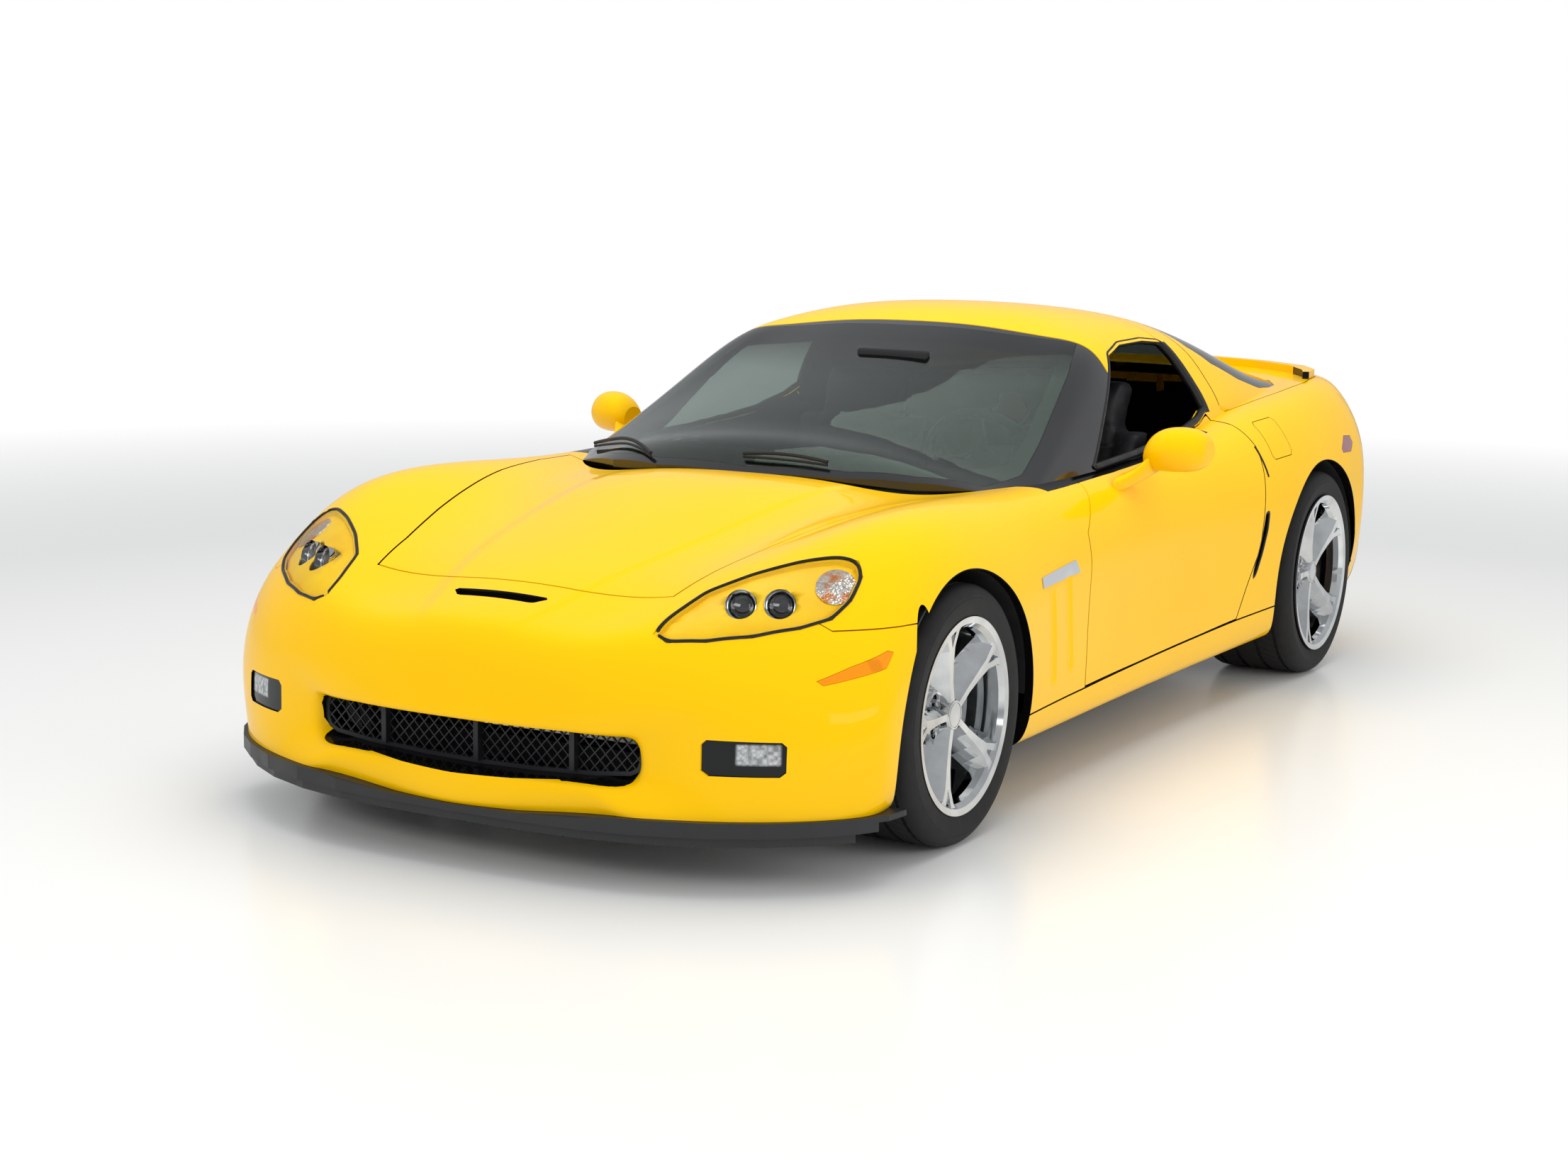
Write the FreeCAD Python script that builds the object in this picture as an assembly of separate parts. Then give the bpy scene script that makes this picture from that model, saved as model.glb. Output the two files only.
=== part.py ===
# Two-seat front-engined coupe with a removable roof panel and a glass rear hatch.
# Millimetres. +X is the driver's side, -Y is forward, +Z is up, the origin is on the floor
# under the middle of the car.
import FreeCAD, Part
import math
import os
from FreeCAD import Vector

os.makedirs("parts", exist_ok=True)

# Chassis sizes
front_axle_y = -1392.0
rear_axle_y = 1293.0
front_track = 1603.0
rear_track = 1588.0

# Outer body, one row per station from the intake mouth to the plate recess. Each row runs up the
# left side: bottom middle, bottom edge, sill, widest side, shoulder, crest, valley, ridge, top middle.
body_net = [
    [(0, -2080, 250), (380, -2080, 250), (430, -2080, 258), (440, -2080, 296), (430, -2080, 336),
     (390, -2080, 342), (260, -2080, 344), (130, -2080, 345), (0, -2080, 345)],
    [(0, -2190, 244), (392, -2150, 244), (452, -2128, 252), (464, -2122, 298), (452, -2130, 344),
     (398, -2150, 350), (266, -2176, 352), (132, -2190, 353), (0, -2194, 353)],
    [(0, -2226, 222), (420, -2180, 222), (492, -2146, 240), (508, -2136, 304), (490, -2146, 362),
     (414, -2176, 374), (280, -2208, 378), (136, -2224, 380), (0, -2228, 381)],
    [(0, -2226, 155), (540, -2160, 160), (652, -2104, 200), (680, -2086, 320), (628, -2102, 430),
     (470, -2156, 466), (300, -2196, 478), (142, -2212, 482), (0, -2216, 484)],
    [(0, -2150, 152), (735, -2060, 156), (818, -1998, 194), (846, -1980, 340), (770, -1998, 500),
     (535, -2098, 562), (325, -2150, 563), (152, -2168, 572), (0, -2178, 576)],
    [(0, -2010, 150), (866, -1925, 158), (926, -1872, 200), (943, -1872, 372), (869, -1868, 560),
     (610, -1985, 640), (365, -2040, 606), (168, -2060, 612), (0, -2070, 616)],
    [(0, -1850, 150), (884, -1790, 162), (940, -1770, 212), (957, -1780, 400), (912, -1760, 600),
     (700, -1800, 718), (420, -1880, 668), (188, -1900, 664), (0, -1910, 668)],
    [(0, -1620, 150), (862, -1600, 168), (944, -1600, 240), (961, -1600, 450), (926, -1590, 660),
     (752, -1590, 792), (460, -1650, 718), (204, -1670, 716), (0, -1680, 722)],
    [(0, -1350, 150), (870, -1350, 170), (946, -1350, 250), (962, -1350, 475), (926, -1350, 690),
     (762, -1350, 822), (492, -1370, 760), (222, -1380, 774), (0, -1380, 782)],
    [(0, -1050, 150), (868, -1050, 170), (930, -1050, 242), (944, -1050, 472), (908, -1050, 690),
     (764, -1050, 814), (528, -1050, 783), (254, -1050, 816), (0, -1050, 824)],
    [(0, -700, 150), (862, -700, 168), (912, -700, 238), (910, -700, 468), (892, -700, 675),
     (784, -700, 796), (570, -700, 783), (300, -700, 790), (0, -700, 796)],
    [(0, -300, 150), (858, -300, 168), (905, -300, 238), (894, -300, 468), (886, -300, 668),
     (798, -300, 798), (600, -300, 790), (300, -300, 790), (0, -300, 790)],
    [(0, 150, 150), (860, 150, 168), (908, 150, 240), (898, 150, 468), (894, 150, 675),
     (806, 150, 812), (600, 150, 810), (300, 150, 810), (0, 150, 810)],
    [(0, 600, 150), (872, 600, 170), (922, 600, 243), (922, 600, 472), (918, 600, 690),
     (816, 600, 848), (610, 600, 856), (300, 600, 860), (0, 600, 860)],
    [(0, 1000, 150), (885, 1000, 173), (944, 1000, 250), (956, 1000, 490), (942, 1000, 715),
     (828, 1000, 886), (630, 1000, 900), (300, 1000, 904), (0, 1000, 905)],
    [(0, 1350, 152), (892, 1350, 178), (952, 1350, 262), (964, 1350, 505), (947, 1350, 735),
     (828, 1350, 910), (640, 1350, 920), (320, 1350, 924), (0, 1350, 925)],
    [(0, 1650, 160), (875, 1650, 188), (936, 1650, 285), (952, 1650, 520), (932, 1650, 750),
     (812, 1650, 926), (640, 1660, 938), (320, 1670, 944), (0, 1670, 946)],
    [(0, 1920, 178), (800, 1900, 205), (882, 1900, 305), (902, 1900, 530), (884, 1890, 755),
     (775, 1910, 920), (620, 1940, 952), (310, 1950, 961), (0, 1955, 964)],
    [(0, 2120, 225), (650, 2070, 250), (748, 2048, 330), (778, 2050, 540), (758, 2044, 742),
     (690, 2070, 890), (560, 2110, 944), (285, 2130, 960), (0, 2135, 966)],
    [(0, 2204, 300), (520, 2150, 310), (620, 2130, 370), (652, 2126, 545), (634, 2126, 716),
     (560, 2158, 842), (450, 2186, 898), (240, 2208, 920), (0, 2214, 926)],
    [(0, 2224, 396), (320, 2194, 400), (390, 2184, 436), (408, 2182, 548), (392, 2184, 660),
     (330, 2200, 706), (250, 2212, 716), (130, 2222, 722), (0, 2226, 724)],
    [(0, 2214, 440), (218, 2196, 442), (260, 2190, 462), (268, 2190, 540), (260, 2190, 616),
     (222, 2196, 636), (160, 2206, 640), (80, 2212, 641), (0, 2214, 642)],
    [(0, 2150, 450), (210, 2150, 452), (246, 2150, 470), (252, 2150, 540), (246, 2150, 608),
     (210, 2150, 626), (150, 2150, 630), (76, 2150, 631), (0, 2150, 631)],
]

# Greenhouse, one row per station from under the hood's rear edge to under the deck. Each row
# runs up the left side: root, belt, side glass, rail, outer roof, roof, top middle.
cabin_net = [
    [(560, -1010, 560), (560, -1010, 600), (545, -1010, 640), (500, -1010, 680), (380, -1010, 700),
     (200, -1010, 712), (0, -1010, 716)],
    [(700, -860, 600), (690, -860, 660), (670, -860, 712), (600, -860, 752), (440, -860, 800),
     (220, -860, 832), (0, -860, 840)],
    [(758, -700, 640), (752, -700, 700), (735, -700, 742), (690, -700, 780), (470, -700, 853),
     (240, -700, 892), (0, -700, 904)],
    [(768, -540, 640), (762, -540, 730), (740, -540, 790), (700, -540, 826), (480, -540, 906),
     (245, -540, 948), (0, -540, 962)],
    [(770, -250, 640), (764, -250, 760), (722, -250, 872), (655, -250, 962), (470, -250, 1014),
     (245, -250, 1052), (0, -250, 1064)],
    [(770, 60, 640), (764, 60, 780), (704, 60, 958), (607, 60, 1110), (450, 60, 1142),
     (235, 60, 1166), (0, 60, 1173)],
    [(770, 300, 640), (764, 300, 800), (692, 300, 990), (590, 300, 1140), (440, 300, 1198),
     (230, 300, 1226), (0, 300, 1233)],
    [(768, 620, 660), (760, 620, 830), (694, 620, 1000), (592, 620, 1138), (440, 620, 1200),
     (232, 620, 1226), (0, 620, 1233)],
    [(760, 940, 700), (752, 940, 850), (704, 940, 975), (622, 940, 1085), (450, 940, 1155),
     (238, 940, 1186), (0, 940, 1194)],
    [(752, 1260, 740), (742, 1260, 850), (708, 1260, 930), (640, 1260, 1005), (460, 1260, 1078),
     (242, 1260, 1112), (0, 1260, 1121)],
    [(740, 1560, 760), (728, 1560, 850), (704, 1560, 900), (640, 1560, 945), (460, 1560, 1000),
     (242, 1560, 1028), (0, 1560, 1036)],
    [(720, 1830, 780), (706, 1830, 840), (680, 1830, 872), (610, 1830, 902), (450, 1830, 932),
     (235, 1830, 950), (0, 1830, 955)],
    [(640, 2030, 760), (630, 2030, 790), (600, 2030, 812), (540, 2030, 836), (400, 2030, 856),
     (210, 2030, 866), (0, 2030, 870)],
]

# Skins and gaps
skin_thick = 22.0
glass_thick = 5.0
panel_gap = 5.0
seat_gap = 0.3
hinge_y = -470.0
door_inner_x = 745.0

# Cut lines in side view, as (y, z)
belt_line = [(-720, 770), (-405, 798), (-161, 803), (134, 817), (419, 838), (640, 874), (712, 900)]
door_front_line = [(-405, 798), (-549, 677), (-543, 591), (-571, 423), (-589, 295), (-590, 262)]
door_rear_line = [(570, 281), (640, 370), (735, 484), (765, 682), (785, 800), (760, 868), (712, 900)]
fuel_spot = Vector(882, 952, 812)
fuel_line = [(-80, -58), (-66, -72), (66, -72), (80, -58), (80, 58), (66, 72), (-66, 72), (-80, 58)]
window_line = [(-205, 812), (192, 1108), (330, 1132), (520, 1135), (655, 1124), (716, 918),
               (640, 889), (419, 850), (134, 829), (-161, 814)]
seam_z = 596.0
door_sill_line = [(-200, 265), (280, 273)]
door_latch_line = [(535, 262), (612, 370), (704, 484), (734, 682), (754, 800), (735, 862), (735, 950), (950, 950),
                   (950, 262)]
rocker_line = [(-1060, 258), (-592, 258), (-200, 264), (280, 272), (580, 278), (900, 282)]

gill_spots = [((-853, 552), (-838, 330)), ((-722, 576), (-706, 346))]
gill_radius = 56.0
gill_depth = 6.0
vent_line = [(762, 594), (790, 600), (782, 540), (752, 470), (712, 408), (688, 392), (694, 420), (726, 478), (752, 540)]

# Cut lines in plan, as (x, y)
hood_line = [(0, -1964), (196, -1961), (436, -1944), (466, -1790), (524, -1580), (574, -1380),
             (634, -1150), (694, -880), (712, -700), (640, -742), (480, -822), (300, -874), (0, -902)]
lamp_line = [(478, -2092), (484, -2040), (516, -1926), (590, -1842), (675, -1770), (752, -1716),
             (794, -1704), (820, -1734), (827, -1798), (812, -1862), (764, -1924), (683, -1999),
             (595, -2058), (514, -2096)]
glass_line = [(0, 74), (330, 84), (556, 104), (604, -60), (668, -400), (690, -560), (640, -700),
              (480, -790), (300, -845), (0, -874)]
hatch_line = [(0, 760), (420, 764), (586, 776), (660, 812), (738, 850), (752, 1060), (758, 1367),
              (756, 1640), (722, 1860), (640, 1990), (480, 2066), (240, 2092), (0, 2098)]
hatch_glass_line = [(0, 790), (400, 794), (560, 806), (618, 850), (662, 960), (686, 1150),
                    (694, 1350), (676, 1560), (612, 1690), (400, 1752), (0, 1764)]
roof_front_y = 112.0
roof_rear_y = 640.0
rear_seam_y = 1850.0
bay_front_y = -1985.0
bay_rear_y = 2105.0

splitter_line = [(0, -2236), (190, -2234), (353, -2222), (500, -2190), (640, -2136), (760, -2064), (850, -1988),
                 (916, -1912), (958, -1838), (966, -1780), (966, -1700), (860, -1700), (0, -1700)]
splitter_top = 175.7
splitter_floor = 140.0
dam_end_y = -1862.0
splitter_low = 116.0
splitter_slope = [(-2300, 162), (-2232, 162), (-2210, 176), (-2300, 176)]
splitter_slots = [356.0, 440.0, 524.0]

# Rear number plate: four screw holes in the recess
plate_y = 2150.0
plate_z = 540.0
plate_span = (178.0, 121.0)
plate_hole_radius = 3.3
plate_hole_deep = 30.0

# Wheels
tyre_radius = {"f": 325.0, "r": 339.0}
tyre_width = {"f": 275.0, "r": 325.0}
rim_radius = {"f": 246.0, "r": 259.0}
track = {"f": front_track, "r": rear_track}
axle_y = {"f": front_axle_y, "r": rear_axle_y}
arch_radius = {"f": 394.0, "r": 414.0}
arch_z = {"f": 292.0, "r": 302.0}

# Lamps and trim
lens_thick = 4.0
lamp_depth = 72.0
lamp_floor = 470.0
fog_recess = 6.0
tail_lamp_recess = 4.0
projector_radius = 34.0
projector_spots = [(572.0, -1880.0, 640.0), (668.0, -1850.0, 646.0)]
chin_line = [(0, 157), (180, 160), (320, 170), (429, 176)]
mouth_line = [(0, 363), (300, 361), (430, 354), (456, 346), (466, 328), (466, 290), (456, 268), (432, 255),
              (330, 243), (160, 234), (0, 231)]
slot_line = [(0, -2018), (128, -2018), (136, -2026), (112, -2050), (100, -2053), (0, -2053)]
fog_line = [(626, 362), (780, 359), (790, 349), (790, 290), (778, 279), (630, 279), (614, 290), (614, 350)]
grille_y = -2116.0
grille_rim = 10.0
grille_deep = 14.0
grille_wire = 3.0
grille_pitch = 30.0
grille_bars = 20
grille_lean = 44.0
marker_line = [(-1956, 494), (-1948, 483), (-1820, 513), (-1784, 546), (-1800, 551), (-1890, 522)]
rear_marker_line = [(1500, 736), (1510, 722), (1610, 718), (1655, 746), (1640, 770), (1560, 776)]
tail_lamp_radius = 64.0
tail_lamp_spots = [(356.0, 742.0), (560.0, 742.0)]
spoiler_line = [(0, 2050), (240, 2046), (450, 2018), (600, 1940), (690, 1810), (716, 1740), (770, 1760),
                (740, 1880), (660, 2010), (500, 2110), (240, 2150), (0, 2156)]
spoiler_rise = 26.0

# Cabin, rails and drive line
tub_half = 648.0
sill_top = 330.0
rail_outer = 738.0
cargo_half = 540.0
tunnel_half = 150.0
tunnel_top = 440.0
dash_half = 660.0
seat_x = 392.0
seat_half = 235.0
steering_x = 385.0
steering_y = -150.0
steering_z = 780.0
steering_radius = 182.0
column_rise = 22.0
rail_low = 180.0
rail_high = 270.0
exhaust_tip_x = (56.0, 150.0)

# Wheel parts, from the middle of the tyre outwards
lip_offset = {"f": 134.0, "r": 165.0}
hub_face = 42.0
disc_face = 8.0
disc_thick = 30.0
disc_radius = {"f": 177.0, "r": 170.0}
kingpin_x = -58.0
kingpin_radius = 9.0
pin_play = 0.05
stub_radius = 24.0
stub_end = -96.0
spoke_count = 5
spoke_start = 17.0
cap_radius = 36.0
hub_drop = 62.0
nut_circle = 60.3
nut_pocket_radius = 15.0
nut_pocket_deep = 14.0

# Extra points of each station across its flat bottom
bottom_shares = (0.5, 0.82)


def vector_net(net):
    return [[Vector(*point) for point in row] for row in net]


def mirrored_points(points):
    return [Vector(-p.x, p.y, p.z) for p in points]


# Basis of the cubic surfaces, which are lofted through a net of points as a hull is from offsets
def bump(knots, i, degree, t):
    if degree == 0:
        return 1.0 if knots[i] <= t < knots[i + 1] else 0.0
    total = 0.0
    if knots[i + degree] > knots[i]:
        total += (t - knots[i]) / (knots[i + degree] - knots[i]) * bump(knots, i, degree - 1, t)
    if knots[i + degree + 1] > knots[i + 1]:
        rest = knots[i + degree + 1] - t
        total += rest / (knots[i + degree + 1] - knots[i + 1]) * bump(knots, i + 1, degree - 1, t)
    return total


def open_weights(count):
    last = float(count - 3)
    knots = [0.0] * 4 + [float(k) for k in range(1, count - 3)] + [last] * 4
    rows = []
    for i in range(count):
        middle = min(sum(knots[i + 1:i + 4]) / 3.0, last - 1e-9)
        rows.append([bump(knots, j, 3, middle) for j in range(count)])
    return rows


def ring_weights(count):
    rows = []
    for i in range(count):
        row = [0.0] * count
        row[i] = 2.0 / 3.0
        row[i - 1] += 1.0 / 6.0
        row[(i + 1) % count] += 1.0 / 6.0
        rows.append(row)
    return rows


def poles_through(points, weights, rounds=3):
    poles = list(points)
    for _ in range(rounds):
        reached = []
        for row in weights:
            spot = Vector(0, 0, 0)
            for weight, pole in zip(row, poles):
                if weight:
                    spot += pole * weight
            reached.append(spot)
        poles = [pole + target - spot for pole, target, spot in zip(poles, points, reached)]
    return poles


def transpose(rows):
    return [list(column) for column in zip(*rows)]


def surface_poles(net, across):
    along = open_weights(len(net))
    rails = [poles_through(rail, along) for rail in transpose(net)]
    return [poles_through(row, across) for row in transpose(rails)]


def inset_net(net, inset, ring):
    rows = []
    last = len(net) - 1
    for i, row in enumerate(net):
        count = len(row)
        moved = []
        for j, point in enumerate(row):
            along = net[min(i + 1, last)][j] - net[max(i - 1, 0)][j]
            after = row[(j + 1) % count] if ring else row[min(j + 1, count - 1)]
            before = row[j - 1] if ring else row[max(j - 1, 0)]
            out = along.cross(after - before)
            out.normalize()
            moved.append(point - out * inset)
        rows.append(moved)
    return rows


def as_solid(faces):
    shell = Part.Compound(faces)
    shell.sewShape()
    solid = Part.Solid(Part.Shell(shell.Faces))
    if solid.Volume < 0:
        solid.reverse()
    return solid


def tube_solid(net):
    poles = surface_poles(net, ring_weights(len(net[0])))
    surface = Part.BSplineSurface()
    u_knots = [float(k) for k in range(len(poles) - 2)]
    u_mults = [4] + [1] * (len(poles) - 4) + [4]
    v_knots = [float(k) for k in range(len(poles[0]) + 1)]
    v_mults = [1] * len(v_knots)
    surface.buildFromPolesMultsKnots(poles, u_mults, v_mults, u_knots, v_knots, False, True, 3, 3)
    skin = surface.toShape()
    caps = []
    for edge in skin.Edges:
        if edge.BoundBox.YLength < 0.01:
            caps.append(Part.Face(Part.Wire([edge])))
    return as_solid([skin] + caps)


def hood_solid(net):
    poles = surface_poles(net, open_weights(len(net[0])))
    surface = Part.BSplineSurface()
    u_knots = [float(k) for k in range(len(poles) - 2)]
    u_mults = [4] + [1] * (len(poles) - 4) + [4]
    v_knots = [float(k) for k in range(len(poles[0]) - 2)]
    v_mults = [4] + [1] * (len(poles[0]) - 4) + [4]
    surface.buildFromPolesMultsKnots(poles, u_mults, v_mults, u_knots, v_knots, False, False, 3, 3)
    skin = surface.toShape()
    ends = []
    sides = []
    for edge in skin.Edges:
        if edge.BoundBox.YLength < 0.01:
            chord = Part.makeLine(edge.Vertexes[0].Point, edge.Vertexes[-1].Point)
            ends.append(Part.Face(Part.Wire([edge, chord])))
        else:
            sides.append(edge)
    return as_solid([skin, Part.makeRuledSurface(sides[0], sides[1])] + ends)


def ring_net(inset=0.0):
    rows = []
    for half in vector_net(body_net):
        low, edge = half[0], half[1]
        half = [low] + [low + (edge - low) * share for share in bottom_shares] + half[1:]
        other = mirrored_points(half[1:-1])
        rows.append([other[0]] + half + other[:0:-1])
    return inset_net(rows, inset, True) if inset else rows


def arch_net(inset=0.0):
    rows = []
    for half in vector_net(cabin_net):
        rows.append(half[:-1] + [half[-1]] + mirrored_points(half[:-1])[::-1])
    rows = [row[::-1] for row in rows]
    return inset_net(rows, -inset, False) if inset else rows



def flatten(row, y, narrow):
    return [Vector(point.x * narrow, y, point.z) for point in row]


def inner_body():
    rows = inset_net(ring_net(), skin_thick, True)
    front = flatten(rows[5], bay_front_y, 0.8)
    rear = flatten(rows[-5], bay_rear_y, 0.76)
    return tube_solid([front] + rows[6:-5] + [rear])


def inner_cabin(inset):
    rows = inset_net(arch_net(), -inset, False)
    rows[0] = flatten(rows[0], cabin_net[0][0][1] + inset, 1.0)
    rows[-1] = flatten(rows[-1], cabin_net[-1][0][1] - inset, 1.0)
    return hood_solid(rows)


def prism(outline, plane, low, high, grow=0.0):
    if plane == "side":
        points = [Vector(low, a, b) for a, b in outline]
        reach = Vector(high - low, 0, 0)
    elif plane == "plan":
        points = [Vector(a, b, low) for a, b in outline]
        reach = Vector(0, 0, high - low)
    else:
        points = [Vector(a, low, b) for a, b in outline]
        reach = Vector(0, high - low, 0)
    face = Part.Face(Part.makePolygon(points + [points[0]]))
    if grow:
        face = face.makeOffset2D(grow, 2, False, False, False)
    return face.extrude(reach)


def both_sides(half_outline):
    mirrored = [(-x, y) for x, y in reversed(half_outline) if x > 0]
    return half_outline + mirrored


def block(x0, x1, y0, y1, z0, z1):
    return Part.makeBox(x1 - x0, y1 - y0, z1 - z0, Vector(x0, y0, z0))


def mirror_x(shape):
    return shape.mirror(Vector(0, 0, 0), Vector(1, 0, 0))


def largest(shape):
    return max(shape.Solids, key=lambda solid: solid.Volume)


def save(name, shape):
    solids = shape.Solids
    Part.Compound(solids).exportStep("parts/" + name + ".step")
    print(name, len(solids), round(sum(s.Volume for s in solids) / 1e6, 3), shape.isValid())


def ring_of(radius_in, radius_out, x0, x1, y, z):
    outer = Part.makeCylinder(radius_out, x1 - x0, Vector(x0, y, z), Vector(1, 0, 0))
    if radius_in <= 0:
        return outer
    return outer.cut(Part.makeCylinder(radius_in, x1 - x0 + 2, Vector(x0 - 1, y, z), Vector(1, 0, 0)))


def spun(profile, y, z):
    points = [Vector(x, y, z + r) for x, r in profile]
    face = Part.Face(Part.makePolygon(points + [points[0]]))
    return face.revolve(Vector(0, y, z), Vector(1, 0, 0), 360)


# Body panels
body = tube_solid(ring_net())
cabin = hood_solid(arch_net())
outer_form = body.fuse(cabin)
body_room = inner_body()
cabin_room = inner_cabin(skin_thick)
shell = outer_form.cut([body_room, cabin_room])
far = 1100.0
half_gap = panel_gap / 2.0


def wheel_house(end, side, extra=0.0):
    x = 560.0 if side > 0 else -far
    radius = arch_radius[end] + extra
    return Part.makeCylinder(radius, far - 560.0, Vector(x, axle_y[end], arch_z[end]), Vector(1, 0, 0))


def skin_x(y, z):
    return body.common(Part.makeLine(Vector(700, y, z), Vector(far, y, z))).BoundBox.XMax


wheel_houses = [wheel_house(end, side) for end in "fr" for side in (1, -1)]
hood_cut = both_sides(hood_line)
hatch_cut = both_sides(hatch_line)
glass_cut = both_sides(glass_line)
hatch_glass_cut = both_sides(hatch_glass_line)
door_outline = belt_line[1:] + door_rear_line[-2::-1] + door_sill_line[::-1] + door_front_line[:0:-1]
lamp_cut = prism(lamp_line, "plan", 540, 900)
lamp_cuts = [lamp_cut, mirror_x(lamp_cut)]
lamp_holes = [prism(lamp_line, "plan", 470, 900, 3.0)]
lamp_holes.append(mirror_x(lamp_holes[0]))

hood = shell.common(prism(hood_cut, "plan", 600, 1000, -half_gap))
hood = hood.cut(cabin)
hood_hole = prism(hood_cut, "plan", 560, 1000, half_gap)

# Fascia: under the side seam and ahead of the hood, down to the splitter
nose_line = [(-2300, 176), (front_axle_y, 176), (front_axle_y, seam_z), (-1880, seam_z), (-1900, 628), (-2300, 628)]
nose_top = block(-566, 566, -2300, -1940, 176, 700)
chin = prism(both_sides(chin_line), "front", -2300, -2150)
lower_front = prism(nose_line, "side", -far, far).multiFuse([nose_top, chin])
fender_limit = prism(nose_line, "side", -far, far, 3.0).fuse(nose_top)
mouth = prism(both_sides(mouth_line), "front", -2300, -1980)
slot = prism(both_sides(slot_line), "plan", 500, 700)
fog_hole = prism(fog_line, "front", -2300, -1900)
marker_hole = prism(marker_line, "side", 700, far)
nose_room = block(-560, 560, -2040, -1980, 200, 520)
floor_room = block(-760, 760, -1985, front_axle_y, 170, 240)
fascia = body.common(lower_front).cut([body_room, hood_hole, mouth, slot, fog_hole, mirror_x(fog_hole), nose_room,
                                        floor_room, marker_hole, mirror_x(marker_hole)] + lamp_holes
                                       + wheel_houses)

# Splitter: the black lip under the fascia
lip = prism(both_sides(splitter_line), "plan", splitter_floor, splitter_top)
lip = lip.cut(prism(both_sides(splitter_line), "plan", 0, splitter_top - 12.0, -70.0))
lip = lip.cut([prism(splitter_slope, "side", -far, far), body.common(block(-far, far, -2300, 0, splitter_top, 300))])
skirt = prism(both_sides(splitter_line), "plan", splitter_low, splitter_floor + 1.0, -16.0)
skirt = skirt.cut(prism(both_sides(splitter_line), "plan", 0, 300, -26.0)).common(block(-far, far, -2300, -1900, 0, 300))
lip = lip.fuse(skirt)
for x in splitter_slots:
    cell = prism([(x, -2300), (x + 72, -2300), (x + 72, -2000), (x, -2000)], "plan", 0, 300)
    cell = cell.common(prism(both_sides(splitter_line), "plan", 0, 300, -30.0))
    cell = cell.cut(prism(both_sides(splitter_line), "plan", 0, 300, -60.0))
    lip = lip.cut([cell, mirror_x(cell)])
lip = lip.cut(block(-far, far, dam_end_y, 0, 0, splitter_top - 14.0))
lip = lip.cut(wheel_houses).cut(chin.translated(Vector(0, 0, -seat_gap)))

door_solid = prism(door_outline, "side", door_inner_x, far, -half_gap)
door_hole = prism(door_outline, "side", 500, far, half_gap)
rocker_zone = rocker_line + [(900, 100), (-1060, 100)]
rocker_hole = prism(rocker_zone, "side", 600, far, half_gap)
fender = shell.common(block(0, far, -2300, -380, 176, 1000)).cut(
    [hood_hole, fender_limit, door_hole, rocker_hole, cabin] + lamp_holes + wheel_houses)
fender = largest(fender.cut(block(0, 700, -2300, -300, 100, 500)))

door = outer_form.common(door_solid.common(block(0, far, hinge_y + 15.0, far, 0, far)))
door = door.cut(prism(door_latch_line, "side", 700, 806))
door = door.fuse(shell.common(door_solid))

quarter = shell.common(block(0, far, 440, 2300, 176, 1300))
seam_cut = block(-far, far, rear_seam_y - half_gap, 2400, 100, 1300)
window_hole = prism(window_line, "side", 400, far)
window_holes = [window_hole, mirror_x(window_hole)]
hatch_hole = prism(hatch_cut, "plan", 600, 1400, half_gap)
roof_zone = block(-far, far, roof_front_y, roof_rear_y, 1040, 1300)
quarter = quarter.cut([door_hole, rocker_hole, seam_cut, hatch_hole, roof_zone] + window_holes
                      + wheel_houses)
quarter = quarter.cut([block(0, 640, -300, 2300, 100, 700), prism(rear_marker_line, "side", 700, far)])

fuel_up = Vector(-0.566, 0, 0.825)
fuel_out = Vector(0.825, 0, 0.566)


def fuel_prism(low, high, grow):
    points = [fuel_spot + Vector(0, y, 0) + fuel_up * s + fuel_out * low for y, s in fuel_line]
    face = Part.Face(Part.makePolygon(points + [points[0]]))
    if grow:
        face = face.makeOffset2D(grow, 0, False, False, False)
    return face.extrude(fuel_out * (high - low))


fuel_door = shell.common(fuel_prism(-60, 80, -half_gap))
pocket = fuel_prism(-70, -24, 6.0).common(body_room).cut(fuel_prism(-64, 0, -12.0))
quarter = quarter.cut(fuel_prism(-60, 80, 0.0)).fuse(pocket)
save("fuel_door", fuel_door)

tail = shell.common(block(-far, far, rear_seam_y + half_gap, 2400, 190, 1300))
tail_rods = []
for x, z in tail_lamp_spots:
    for side in (1, -1):
        start = Vector(side * x, 1900.0, z)
        tail_rods.append(Part.makeCylinder(tail_lamp_radius + 1.0, 400.0, start, Vector(0, 1, 0)))
tail = tail.cut([hatch_hole, block(-210, 210, 1800, 2400, 150, 330), block(-600, 600, 1800, 2090, 150, 345)]
                + tail_rods + wheel_houses)
plate_holes = []
for x in (-plate_span[0] / 2.0, plate_span[0] / 2.0):
    for z in (plate_z - plate_span[1] / 2.0, plate_z + plate_span[1] / 2.0):
        plate_holes.append(Part.makeCylinder(plate_hole_radius, plate_hole_deep,
                                             Vector(x, plate_y - plate_hole_deep, z), Vector(0, 1, 0)))
tail = tail.cut(plate_holes)
hatch_rest = block(-60, 60, 2030, 2104, 850, 960).common(body_room.translated(Vector(0, 0, -seat_gap)))
tail = tail.multiFuse([hatch_rest, block(-60, 60, 2090, 2125, 850, 935)])

rocker = body.common(prism(rocker_zone, "side", rail_outer + seat_gap, far, -half_gap)).cut(wheel_houses)

roof = shell.common(block(-far, far, roof_front_y + half_gap, roof_rear_y - half_gap, 1040, 1300))
roof = roof.cut(window_holes)
header = cabin_room.cut(inner_cabin(skin_thick + 24.0))
header = header.common(block(-552, 552, 70, roof_front_y + 45.0, 900, 1300))

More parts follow.
